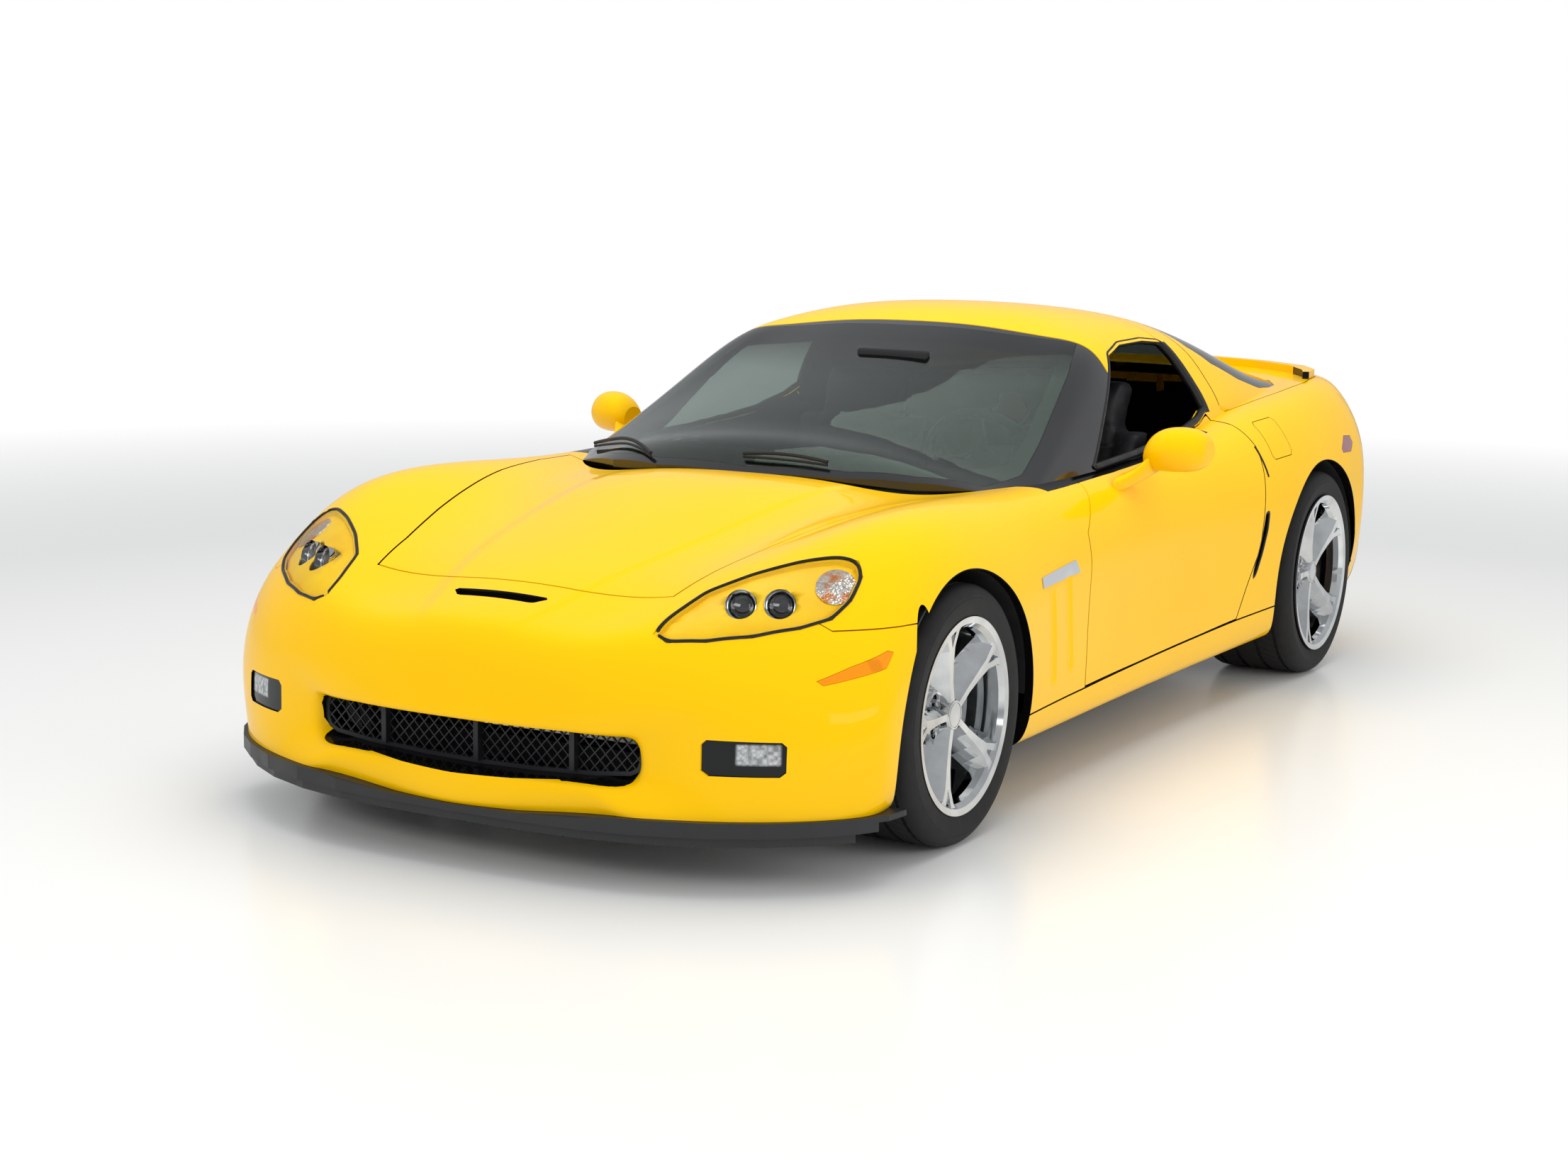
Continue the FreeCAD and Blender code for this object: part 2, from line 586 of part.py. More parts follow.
hatch_frame = shell.common(prism(hatch_cut, "plan", 700, 1400, -half_gap))
hatch_pane_hole = prism(hatch_glass_cut, "plan", 700, 1400)
hatch_pane = outer_form.cut(inner_cabin(glass_thick))
hatch_glass = hatch_pane.common(prism(hatch_glass_cut, "plan", 860, 1400, -1.0))
hatch_frame = hatch_frame.cut(hatch_pane_hole)

windshield = hatch_pane.common(prism(glass_cut, "plan", 780, 1400, -1.0)).cut(prism(hood_cut, "plan", 500, 1000, 2.0))
frame_zone = block(-far, far, -1000, roof_front_y - half_gap, 700, 1300)
frame = cabin.cut(cabin_room).common(frame_zone)
frame = frame.cut([prism(glass_cut, "plan", 700, 1400), hood_hole, door_hole, mirror_x(door_hole)] + window_holes)

grooves = []
for high_end, low_end in gill_spots:
    centres = [Vector(skin_x(y, z) + gill_radius - gill_depth, y, z) for y, z in (high_end, low_end)]
    run = centres[1] - centres[0]
    grooves.append(Part.makeCylinder(gill_radius, run.Length, centres[0], run))
    grooves.append(Part.makeSphere(gill_radius, centres[0]))
    grooves.append(Part.makeSphere(gill_radius, centres[1]))
fender = fender.cut(grooves)
vent = prism(vent_line, "side", 760, far)
quarter = quarter.cut(vent)

save("hood", hood)
save("front_fascia", fascia)
save("front_splitter", lip)
save("fenders", Part.Compound([fender, mirror_x(fender)]))
save("door_left", door)
save("door_right", mirror_x(door))
save("quarters", Part.Compound([quarter, mirror_x(quarter)]))
save("rear_fascia", tail)
save("rocker_panels", Part.Compound([rocker, mirror_x(rocker)]))
save("roof_panel", roof)
save("hatch_glass", hatch_glass)
save("windshield", windshield)
save("windshield_frame", frame.fuse(header))

# Wheels, discs and what carries them
def on_corner(shape, end, side):
    moved = shape.copy()
    moved.translate(Vector(track[end] / 2.0, axle_y[end], tyre_radius[end]))
    return moved if side > 0 else mirror_x(moved)


def tyre(end):
    radius = tyre_radius[end]
    half = tyre_width[end] / 2.0
    bead = rim_radius[end] - 4.0
    grip = half - 12.0
    outline = [(-grip, bead), (-half + 3.0, bead + 26.0), (-half, bead + 0.55 * (radius - bead)),
               (-half + 8.0, radius - 16.0), (-half + 26.0, radius), (half - 26.0, radius),
               (half - 8.0, radius - 16.0), (half, bead + 0.55 * (radius - bead)),
               (half - 3.0, bead + 26.0), (grip, bead), (grip - 8.0, bead - 8.0), (8.0 - grip, bead - 8.0)]
    return spun(outline, 0.0, 0.0)


def rim(end):
    lip = lip_offset[end]
    edge = rim_radius[end]
    seat = edge - 13.0
    outline = [(lip, edge), (lip - 6.0, edge), (lip - 12.0, seat), (-lip + 12.0, seat), (-lip + 6.0, edge),
               (-lip, edge), (-lip + 2.0, seat - 8.0), (lip - 60.0, seat - 8.0), (lip - 34.0, seat - 16.0),
               (lip - 16.0, seat - 14.0), (lip - 3.0, seat - 4.0)]
    return spun(outline, 0.0, 0.0)


def spoke_section(face, depth, front, back, r):
    points = [Vector(face - depth, -back / 2.0, r), Vector(face, -front / 2.0, r),
              Vector(face, front / 2.0, r), Vector(face - depth, back / 2.0, r)]
    return Part.makePolygon(points + [points[0]])


def wheel(end):
    lip = lip_offset[end]
    edge = rim_radius[end]
    sections = [spoke_section(lip - 32.0, 40.0, 18.0, 46.0, 30.0),
                spoke_section(lip - 29.0, 52.0, 17.0, 84.0, 0.36 * edge),
                spoke_section(lip - 23.0, 56.0, 22.0, 98.0, 0.56 * edge),
                spoke_section(lip - 16.0, 50.0, 31.0, 104.0, 0.74 * edge),
                spoke_section(lip - 9.0, 42.0, 64.0, 116.0, 0.88 * edge),
                spoke_section(lip - 5.0, 34.0, 118.0, 134.0, edge - 14.0)]
    spoke = Part.makeLoft(sections, True, True)
    spoke = spoke.common(ring_of(0, edge - 14.0, -lip, lip, 0, 0))
    notch = [Vector(lip - 17.0, -17.0, edge - 17.0), Vector(lip - 17.0, 17.0, edge - 17.0),
             Vector(lip - 17.0, 0, edge - 62.0)]
    spoke = spoke.cut(Part.Face(Part.makePolygon(notch + notch[:1])).extrude(Vector(30, 0, 0)))
    step = 360.0 / spoke_count
    arms = []
    pockets = []
    for k in range(spoke_count):
        arms.append(turned(spoke, spoke_start + step * k))
        pocket = Part.makeCone(nut_pocket_radius, nut_pocket_radius + 5.0, nut_pocket_deep,
                               Vector(lip - hub_drop - nut_pocket_deep, 0, nut_circle), Vector(1, 0, 0))
        pockets.append(turned(pocket, spoke_start + step * (k + 0.5)))
    hub = spun([(lip - 30.0, 0), (lip - 30.0, cap_radius), (lip - 36.0, cap_radius + 3.0), (lip - hub_drop, 46.0),
                (lip - hub_drop, 88.0), (lip - hub_drop - 12.0, 94.0), (hub_face, 94.0), (hub_face, 0)], 0, 0)
    cap_groove = ring_of(cap_radius - 6.0, cap_radius - 4.0, lip - 32.0, lip, 0, 0)
    return rim(end).multiFuse(arms + [hub]).cut(pockets + [cap_groove])


def turned(shape, angle):
    return shape.copy().rotate(Vector(0, 0, 0), Vector(1, 0, 0), angle)


def brake_disc(end):
    radius = disc_radius[end]
    plate = ring_of(radius - 62.0, radius, disc_face - disc_thick, disc_face, 0, 0)
    hat = spun([(hub_face - seat_gap, 0), (hub_face - seat_gap, 84.0), (disc_face - disc_thick, radius - 58.0),
                (disc_face - disc_thick - 6.0, radius - 58.0), (hub_face - 10.0, 76.0), (hub_face - 10.0, stub_radius),
                (stub_end, stub_radius), (stub_end, 0)], 0, 0)
    return plate.fuse(hat)


def caliper(end):
    radius = disc_radius[end]
    x0 = disc_face - disc_thick - 42.0
    x1 = disc_face + 34.0
    form = ring_of(radius - 66.0, radius + 18.0, x0, x1, 0, 0)
    form = form.common(block(x0 - 1, x1 + 1, 70, 400, -118, 118))
    gap = ring_of(0, radius + 6.0, disc_face - disc_thick - 6.0, disc_face + 6.0, 0, 0)
    form = form.cut(gap)
    return form if end == "f" else form.rotate(Vector(0, 0, 0), Vector(1, 0, 0), 180)


def hub_carrier(end):
    back = disc_face - disc_thick - 14.0
    carrier = ring_of(0, 62.0, back - 70.0, back, 0, 0)
    post = block(kingpin_x - 16.0, kingpin_x + 16.0, -34, 34, -118, 150)
    bore = ring_of(0, stub_radius + pin_play, stub_end - 1.0, back + 1.0, 0, 0)
    reach = 1 if end == "f" else -1
    tab = block(back - 52.0, back - 22.0, 0, disc_radius[end] + 10.0, -60, 60)
    if reach < 0:
        tab = tab.mirror(Vector(0, 0, 0), Vector(0, 1, 0))
    arm = block(back - 52.0, disc_face - disc_thick - 20.0, disc_radius[end] - 40.0, disc_radius[end] + 10.0, -60, 60)
    if reach < 0:
        arm = arm.mirror(Vector(0, 0, 0), Vector(0, 1, 0))
    pins = [Part.makeCylinder(kingpin_radius, 34.0, Vector(kingpin_x, 0, z)) for z in (-150, 142)]
    return carrier.multiFuse([post, tab, arm, caliper(end)] + pins).cut(bore)


for end in "fr":
    tyre_form = tyre(end)
    wheel_form = wheel(end)
    disc_form = brake_disc(end)
    for side, mark in ((1, "l"), (-1, "r")):
        save("tyre_" + end + mark, on_corner(tyre_form, end, side))
        save("wheel_" + end + mark, on_corner(wheel_form, end, side))
        save("brake_disc_" + end + mark, on_corner(disc_form, end, side))
carrier = hub_carrier("f")
save("knuckle_fl", on_corner(carrier, "f", 1))
save("knuckle_fr", on_corner(carrier, "f", -1))
carrier = hub_carrier("r")
save("knuckles_rear", Part.Compound([on_corner(carrier, "r", 1), on_corner(carrier, "r", -1)]))

# Lamps, grille and trim on the body
def sunk(form, depth):
    return form.translated(Vector(-0.35, 0.65, -0.65) * depth)


lens = body.common(prism(lamp_line, "plan", lamp_floor, 900, -2.0)).cut(sunk(body, lens_thick))
under_lens = sunk(body, lens_thick + seat_gap)
lamp_zone = prism(lamp_line, "plan", lamp_floor, 900, 2.7).cut(block(790, far, -2000, -1600, 400, 575))
bucket = under_lens.common(lamp_zone).cut(sunk(body, lamp_depth))
hollow = sunk(body, lens_thick).common(prism(lamp_line, "plan", lamp_floor, 900, -8.0))
bucket = bucket.cut(hollow.cut(sunk(body, lamp_depth - 8.0)))
for x, y, z in projector_spots:
    barrel = Part.makeCylinder(projector_radius, 70.0, Vector(x, y + 70.0, z), Vector(0, -1, 0))
    bore = Part.makeCylinder(projector_radius - 3.0, 12.0, Vector(x, y + 11.0, z), Vector(0, -1, 0))
    bucket = bucket.fuse(barrel.common(lamp_zone).cut(bore))
bucket = bucket.common(under_lens)
save("headlamps", Part.Compound([bucket, mirror_x(bucket)]))
save("headlamp_lenses", Part.Compound([lens, mirror_x(lens)]))

fog = body.translated(Vector(0, fog_recess, 0)).common(prism(fog_line, "front", -2200, -1930, -seat_gap))
marker = shell.common(prism(marker_line, "side", 700, far, -1.0))
save("front_lamps", Part.Compound([fog, mirror_x(fog), marker, mirror_x(marker)]))

tails = []
for x, z in tail_lamp_spots:
    rod = Part.makeCylinder(tail_lamp_radius, 200.0, Vector(x, 2080.0, z), Vector(0, 1, 0))
    tails.append(body.translated(Vector(0, -tail_lamp_recess, 0)).common(rod))
rear_marker = shell.common(prism(rear_marker_line, "side", 700, far, -1.0))
save("tail_lamps", Part.Compound(tails + [mirror_x(t) for t in tails] + [rear_marker, mirror_x(rear_marker)]))

grille_face = Part.Face(Part.makePolygon([Vector(x, grille_y, z) for x, z in both_sides(mouth_line)]
                                         + [Vector(0, grille_y, mouth_line[0][1])]))
grille_face = grille_face.makeOffset2D(-seat_gap, 2, False, False, False)
opening = grille_face.makeOffset2D(-grille_rim, 2, False, False, False)
grille_room = opening.extrude(Vector(0, grille_deep, 0))
bars = []
for lean in (1, -1):
    for k in range(-grille_bars, grille_bars + 1):
        bar = Part.makeBox(grille_wire, grille_wire * 2, 260, Vector(-grille_wire / 2, grille_y + 2, -130))
        bar.rotate(Vector(0, 0, 0), Vector(0, 1, 0), lean * grille_lean)
        bar.translate(Vector(k * grille_pitch, 0, 297))
        bars.append(bar)
grille = grille_face.cut(opening).extrude(Vector(0, grille_deep, 0))
grille = grille.fuse(bars[0].multiFuse(bars[1:]).common(grille_room))
for x in (-276, 0, 276):
    post = block(x - 7, x + 7, grille_y - 14, grille_y + 12, 200, 400)
    grille = grille.fuse(post.common(opening.extrude(Vector(0, -40, 0)).fuse(grille_room)))
save("grille", grille)


# Mirrors, each on its foot on the door
def oval(x, y, z, wide, high, lean):
    points = []
    for k in range(8):
        a = math.radians(45 * k)
        points.append(Vector(x, y + wide * math.cos(a) + lean * math.sin(a), z + high * math.sin(a)))
    curve = Part.BSplineCurve()
    curve.interpolate(points, True)
    return Part.Wire([curve.toShape()])


foot = Part.makeLoft([oval(838, -205, 778, 62, 26, 14), oval(872, -165, 800, 56, 26, 10),
                      oval(905, -110, 838, 56, 36, 0)], True)
head = Part.makeLoft([oval(880, -100, 852, 52, 38, 0), oval(915, -98, 866, 74, 58, 0),
                      oval(965, -82, 870, 80, 64, 0), oval(1015, -62, 868, 72, 56, 0),
                      oval(1042, -50, 866, 40, 30, 0)], True)
mirror = foot.fuse(head).cut(outer_form)
save("mirror_left", largest(mirror))
save("mirror_right", mirror_x(largest(mirror)))

band = prism(both_sides(spoiler_line), "plan", 800, 1400).common(prism(hatch_cut, "plan", 600, 1400, -half_gap))
raised = body.copy()
raised.translate(Vector(0, 10.0, spoiler_rise))
spoiler = raised.common(band).cut([body, cabin]).common(block(-far, far, 1700, 2400, 900, 1100))
save("hatch_frame", Part.Compound([hatch_frame, largest(spoiler)]))

liners = []
for end, reach in (("f", 486.0), ("r", 560.0)):
    sheet = ring_of(arch_radius[end], arch_radius[end] + 6.0, reach, 930.0, axle_y[end], arch_z[end])
    wall = ring_of(0, arch_radius[end] + 6.0, reach - 6.0, reach, axle_y[end], arch_z[end])
    wall = wall.common(block(0, far, -2400, 2400, arch_z[end] + 250.0, 1000))
    liner = sheet.fuse(wall).common(block(0, far, -2400, 2400, arch_z[end] + 20.0, 1000))
    liner = liner.common(body_room)
    liners += [liner, mirror_x(liner)]
save("wheel_liners", Part.Compound(liners))

# Cabin
def plate_run(points, thick, x0, x1):
    parts = []
    for (y0, z0), (y1, z1) in zip(points, points[1:]):
        length = math.hypot(y1 - y0, z1 - z0)
        dy, dz = (y1 - y0) / length * thick * 0.6, (z1 - z0) / length * thick * 0.6
        y0, z0, y1, z1 = y0 - dy, z0 - dz, y1 + dy, z1 + dz
        length = math.hypot(y1 - y0, z1 - z0)
        ny, nz = -(z1 - z0) / length * thick, (y1 - y0) / length * thick
        parts.append(prism([(y0, z0), (y1, z1), (y1 + ny, z1 + nz), (y0 + ny, z0 + nz)], "side", x0, x1))
    return parts[0].multiFuse(parts[1:])


floor_line = [(-640, 700), (-640, 470), (-560, 290), (-500, 190), (600, 190), (640, 300), (668, 420)]
tub = plate_run(floor_line, 12.0, -tub_half, tub_half)
cargo = plate_run([(664, 400), (704, 560), (1900, 610)], 12.0, -cargo_half, cargo_half)
tunnel = block(-tunnel_half, tunnel_half, -640, 668, 190, tunnel_top)
wall = block(tub_half - 14, tub_half, -560, 640, 190, sill_top)
sill = block(tub_half - 1, rail_outer, -690, 640, rail_high + seat_gap, sill_top)
for y in (-260, 480):
    sill = sill.fuse(block(rail_outer - 1, door_inner_x - seat_gap, y - 30, y + 30, 292, 324))
tub = tub.multiFuse([cargo, tunnel, wall, sill, mirror_x(wall), mirror_x(sill)])
tub = tub.cut(block(12 - tunnel_half, tunnel_half - 12, -700, 720, 100, tunnel_top - 12))
save("cabin_tub", tub)

dash_side = [(-627.7, 560), (-627.7, 690), (-560, 730), (-420, 752), (-330, 742), (-285, 700), (-300, 640),
             (-380, 600), (-400, 520), (-470, 500)]
dash = prism(dash_side, "side", -dash_half, dash_half)
hood_over = prism([(-480, 730), (-460, 790), (-360, 800), (-310, 770), (-330, 730)], "side", 240, 500)
stack = prism([(-430, tunnel_top + 0.3), (-430, 620), (-330, 640), (-250, 500), (60, 475), (360, 475),
               (360, tunnel_top + 0.3)], "side", -130, 130)
dash = dash.multiFuse([hood_over, stack])
centre = Vector(steering_x, steering_y, steering_z)
column_way = Vector(0, math.cos(math.radians(column_rise)), math.sin(math.radians(column_rise)))
dash = dash.cut(Part.makeCylinder(22.0 + pin_play, 400.0, centre - column_way * 330.0, column_way))
save("dashboard", dash)


def seat(x):
    base = prism([(-120, 290), (-120, 380), (-90, 415), (300, 372), (420, 330), (420, 290)], "side",
                 x - seat_half, x + seat_half)
    back = prism([(290, 340), (410, 320), (470, 520), (600, 840), (640, 985), (620, 1010), (560, 1010),
                  (520, 960), (480, 800), (380, 520)], "side", x - seat_half + 10, x + seat_half - 10)
    back = back.cut([block(x - 300, x - 140, 300, 700, 850, 1100), block(x + 140, x + 300, 300, 700, 850, 1100)])
    rails = block(x - seat_half + 30, x + seat_half - 30, -100, 420, 202.3, 290)
    return base.multiFuse([back, rails])


save("seats", Part.Compound([seat(seat_x), seat(-seat_x)]))

ring = Part.makeTorus(steering_radius, 15.0, Vector(0, 0, 0), Vector(0, 0, 1))
spokes = [block(-steering_radius, steering_radius, -26, 14, -8, 8),
          block(-16, 16, -steering_radius, 0, -8, 8)]
boss = Part.makeCylinder(62.0, 60.0, Vector(0, 0, -50))
column = Part.makeCylinder(22.0, 260.0, Vector(0, 0, -310))
wheel_form = ring.multiFuse(spokes + [boss, column])
wheel_form.rotate(Vector(0, 0, 0), Vector(1, 0, 0), -(90.0 - column_rise))
wheel_form.translate(centre)
save("steering_wheel", wheel_form)

# Chassis under the body
rail_plan = [(440, -1930), (470, -1930), (470, -1000), (rail_outer, -700), (rail_outer, 660), (560, 860),
             (470, 1000), (470, 1690), (400, 1690), (400, 960), (520, 800), (650, 650), (650, -660),
             (400, -960), (400, -1930)]
rail = prism(rail_plan, "plan", rail_low, rail_high)
cross = [block(-410, 410, y - 40, y + 40, rail_low, rail_high - 10) for y in (-1890, front_axle_y, 1640)]
bumper_beam = block(-600, 600, -1984.7, -1925, 330, 430)
stalk = block(400, 470, -1935, -1860, 200, 400)
rest = block(415, 455, -1925, -1885, 380, 800).common(body_room.translated(Vector(0, 0, -seat_gap)))
towers = [block(410, 470, y - 140, y + 140, rail_high - 10, 505) for y in (front_axle_y, rear_axle_y)]
towers = [tower.cut(ring_of(0, 26.0, 400, 480, rear_axle_y, tyre_radius["r"])) for tower in towers]
tail_arm = block(400, 470, 1620, bay_rear_y - seat_gap, 345, 420).fuse(block(400, 470, 1620, 1690, 250, 420))
side_parts = [stalk, rest, tail_arm] + towers
frame_form = rail.multiFuse([mirror_x(rail), bumper_beam] + cross + side_parts
                            + [mirror_x(part) for part in side_parts])
save("chassis_frame", frame_form)

engine = block(-290, 290, -1440, -760, 260.3, 660)
bell = Part.makeCylinder(134.0, 110.0, Vector(0, -770, 330), Vector(0, 1, 0))
torque_tube = Part.makeCylinder(70.0, 1440.0, Vector(0, -660, 330), Vector(0, 1, 0))
transaxle = block(-180, 180, 780, 1500, 260, 500)
halfshaft = Part.makeCylinder(18.0, 517.7, Vector(170, rear_axle_y, tyre_radius["r"]), Vector(1, 0, 0))
powertrain = engine.multiFuse([bell, torque_tube, transaxle, halfshaft, mirror_x(halfshaft)])
save("powertrain", powertrain)

muffler = block(230, 560, 1690 + seat_gap, 1920, 200, 330)
pipe = Part.makeCylinder(32.0, 200.0, Vector(180, 1850, 262), Vector(1, 0, 0))
tips = []
for x in exhaust_tip_x:
    tip = Part.makeCylinder(44.0, 280.0, Vector(x, 1930, 262), Vector(0, 1, 0))
    tip = tip.cut(Part.makeCylinder(40.0, 240.0, Vector(x, 1980, 262), Vector(0, 1, 0)))
    tips.append(tip)
collector = block(-200, 200, 1880, 1960, 225, 300)
exhaust = muffler.multiFuse([mirror_x(muffler), collector, pipe, mirror_x(pipe)] + tips + [mirror_x(t) for t in tips])
save("exhaust", exhaust)


def wishbone(x_in, x_out, y, z, spread, thick):
    arm = prism([(x_in, y - spread), (x_in, y - spread + 50), (x_out - 60, y + 10), (x_in, y + spread - 50),
                 (x_in, y + spread), (x_out, y + 22), (x_out, y - 22)], "plan", z, z + thick)
    arm = arm.fuse(Part.makeCylinder(22.0, thick, Vector(x_out, y, z)))
    return arm.cut(Part.makeCylinder(kingpin_radius + pin_play, thick + 2, Vector(x_out, y, z - 1)))


arms = []
for end in "fr":
    x_out = track[end] / 2.0 + kingpin_x
    for z in (tyre_radius[end] - 148.0, tyre_radius[end] + 152.0):
        arm = wishbone(470.0 + seat_gap, x_out, axle_y[end], z, 130.0, 20.0)
        arms += [arm, mirror_x(arm)]
save("suspension_arms", Part.Compound(arms))
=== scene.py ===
import bpy
import bmesh
import math
import numpy
from mathutils import Matrix, Vector
from mathutils.bvhtree import BVHTree


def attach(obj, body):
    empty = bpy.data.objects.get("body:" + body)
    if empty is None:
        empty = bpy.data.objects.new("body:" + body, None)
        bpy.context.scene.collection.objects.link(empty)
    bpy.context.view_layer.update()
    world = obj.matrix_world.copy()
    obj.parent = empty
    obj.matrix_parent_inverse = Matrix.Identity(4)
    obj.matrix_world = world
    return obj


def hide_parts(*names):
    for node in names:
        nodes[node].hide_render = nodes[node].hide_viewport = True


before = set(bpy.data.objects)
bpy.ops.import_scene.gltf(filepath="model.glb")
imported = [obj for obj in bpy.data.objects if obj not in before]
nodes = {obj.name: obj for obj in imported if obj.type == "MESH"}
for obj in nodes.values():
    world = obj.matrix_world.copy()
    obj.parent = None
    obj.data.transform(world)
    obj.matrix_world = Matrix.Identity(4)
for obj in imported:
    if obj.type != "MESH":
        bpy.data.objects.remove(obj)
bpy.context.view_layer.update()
print("frame loaded:", len(nodes), "nodes")


# colour and node helpers
def linear(hexColour):
    parts = [int(hexColour[i:i + 2], 16) / 255.0 for i in (1, 3, 5)]
    return [c / 12.92 if c <= 0.04045 else ((c + 0.055) / 1.055) ** 2.4 for c in parts] + [1.0]


def addNode(tree, kind, settings=None, links=None, **values):
    node = tree.nodes.new(kind)
    for key, value in (settings or {}).items():
        setattr(node, key, value)
    for key, value in values.items():
        byNumber = key[0] == "i" and key[1:].isdigit()
        socket = node.inputs[int(key[1:]) if byNumber else key.replace("_", " ")]
        socket.default_value = value
    for key, source in (links or {}).items():
        tree.links.new(source, node.inputs[key])
    return node


def newMaterial(name, colour, roughness, metallic=0.0, **sockets):
    material = bpy.data.materials.new(name)
    material.use_nodes = True
    shader = material.node_tree.nodes["Principled BSDF"]
    shader.inputs["Base Color"].default_value = linear(colour)
    shader.inputs["Roughness"].default_value = roughness
    shader.inputs["Metallic"].default_value = metallic
    for key, value in sockets.items():
        shader.inputs[key.replace("_", " ")].default_value = value
    return material, material.node_tree, shader


def objectCoords(tree, scale=(1, 1, 1)):
    spot = addNode(tree, "ShaderNodeTexCoord")
    mapped = addNode(tree, "ShaderNodeMapping", links={"Vector": spot.outputs["Object"]}, Scale=scale)
    return mapped.outputs["Vector"]


def pattern(tree, kind, scale, settings=None, stretch=(1, 1, 1), **values):
    links = {"Vector": objectCoords(tree, stretch)}
    return addNode(tree, "ShaderNodeTex" + kind, settings, links, Scale=scale, **values)


def bumpInto(tree, shader, height, distance, strength=1.0, socket="Normal"):
    bump = addNode(tree, "ShaderNodeBump", links={"Height": height}, Distance=distance, Strength=strength)
    tree.links.new(bump.outputs["Normal"], shader.inputs[socket])


def compute(tree, operation, first, second=None):
    node = addNode(tree, "ShaderNodeMath", {"operation": operation})
    for index, value in ((0, first), (1, second)):
        if isinstance(value, (int, float)):
            node.inputs[index].default_value = value
        elif value is not None:
            tree.links.new(value, node.inputs[index])
    return node.outputs[0]


def above(tree, value, limit):
    return compute(tree, "GREATER_THAN", value, limit)


def below(tree, value, limit):
    return compute(tree, "LESS_THAN", value, limit)


def between(tree, value, low, high):
    return compute(tree, "MULTIPLY", above(tree, value, low), below(tree, value, high))


def everyOne(tree, tests):
    result = tests[0]
    for test in tests[1:]:
        result = compute(tree, "MULTIPLY", result, test)
    return result


def mixColours(tree, factor, first, second):
    mix = addNode(tree, "ShaderNodeMix", {"data_type": "RGBA"}, {0: factor})
    for index, value in ((6, first), (7, second)):
        if isinstance(value, str):
            mix.inputs[index].default_value = linear(value)
        else:
            tree.links.new(value, mix.inputs[index])
    return mix.outputs[2]


def patchy(tree, shader, light, dark, scale, detail=4.0):
    noise = pattern(tree, "Noise", scale, Detail=detail)
    spread = addNode(tree, "ShaderNodeMapRange", links={"Value": noise.outputs["Fac"]}, i1=0.35, i2=0.65)
    colour = mixColours(tree, spread.outputs[0], light, dark)
    tree.links.new(colour, shader.inputs["Base Color"])
    return spread.outputs[0]


def patchyGloss(tree, shader, factor, low, high):
    gloss = addNode(tree, "ShaderNodeMapRange", links={"Value": factor}, i3=low, i4=high)
    tree.links.new(gloss.outputs[0], shader.inputs["Roughness"])


# materials, each named for the real finish
# Polyester clearcoat over solid yellow, with faint orange peel; the panels' hidden inner faces, wheel arch
# returns and opening edges are bare black composite and sealant
paint = {"colour": "#F8C200", "shade": "#F3BA00", "liner": "#0C0C0D", "centre": (0.0, 0.1, 0.62),
         "turnedIn": -0.03, "archInner": 0.55, "deckFrom": 1.6, "deckLow": 0.885, "deckFacing": 0.05,
         "spoilerFrom": 1.9, "tailFrom": 2.06, "tailFacing": -0.4,
         "arches": (((-1.392, 0.292), 0.396), ((1.293, 0.302), 0.416)),
         "coat": {"Coat_Weight": 0.6, "Coat_Roughness": 0.02, "Coat_IOR": 1.34, "Specular_IOR_Level": 0.02}}
panelPaint, tree, shader = newMaterial("yellowClearcoat", paint["colour"], 0.45, IOR=1.5, **paint["coat"])
film = pattern(tree, "Noise", 2.2, Detail=2.0)
tint = mixColours(tree, film.outputs["Fac"], paint["colour"], paint["shade"])
texture = addNode(tree, "ShaderNodeTexCoord")
place = addNode(tree, "ShaderNodeSeparateXYZ", links={0: texture.outputs["Object"]})
across, along, height = (place.outputs[axis] for axis in "XYZ")
sideways = compute(tree, "ABSOLUTE", across)
facing = addNode(tree, "ShaderNodeSeparateXYZ", links={0: texture.outputs["Normal"]})
outward = addNode(tree, "ShaderNodeVectorMath", {"operation": "SUBTRACT"}, {0: texture.outputs["Object"]},
                  i1=paint["centre"])
spread = addNode(tree, "ShaderNodeVectorMath", {"operation": "DOT_PRODUCT"},
                 {0: outward.outputs[0], 1: texture.outputs["Normal"]})
onTop = compute(tree, "MAXIMUM", above(tree, facing.outputs["Z"], paint["deckFacing"]),
                above(tree, along, paint["spoilerFrom"]))
onDeck = everyOne(tree, [above(tree, along, paint["deckFrom"]), above(tree, height, paint["deckLow"]), onTop])
atTail = everyOne(tree, [above(tree, along, paint["tailFrom"]),
                         above(tree, facing.outputs["Y"], paint["tailFacing"])])
painted = compute(tree, "MAXIMUM", onDeck, atTail)
hidden = everyOne(tree, [below(tree, spread.outputs["Value"], paint["turnedIn"]),
                         compute(tree, "SUBTRACT", 1.0, painted)])
for (archY, archZ), archRadius in paint["arches"]:
    aside = compute(tree, "SUBTRACT", along, archY)
    over = compute(tree, "SUBTRACT", height, archZ)
    reach = compute(tree, "SQRT", compute(tree, "ADD", compute(tree, "MULTIPLY", aside, aside),
                                          compute(tree, "MULTIPLY", over, over)))
    arch = everyOne(tree, [below(tree, reach, archRadius), above(tree, sideways, paint["archInner"])])
    hidden = compute(tree, "MAXIMUM", hidden, arch)
cabin = {"wide": 0.795, "front": -0.62, "rear": 0.6, "low": 0.3, "high": 1.0}
inCabin = everyOne(tree, [below(tree, sideways, cabin["wide"]),
                          between(tree, along, cabin["front"], cabin["rear"]),
                          between(tree, height, cabin["low"], cabin["high"])])
hidden = compute(tree, "MAXIMUM", hidden, inCabin)

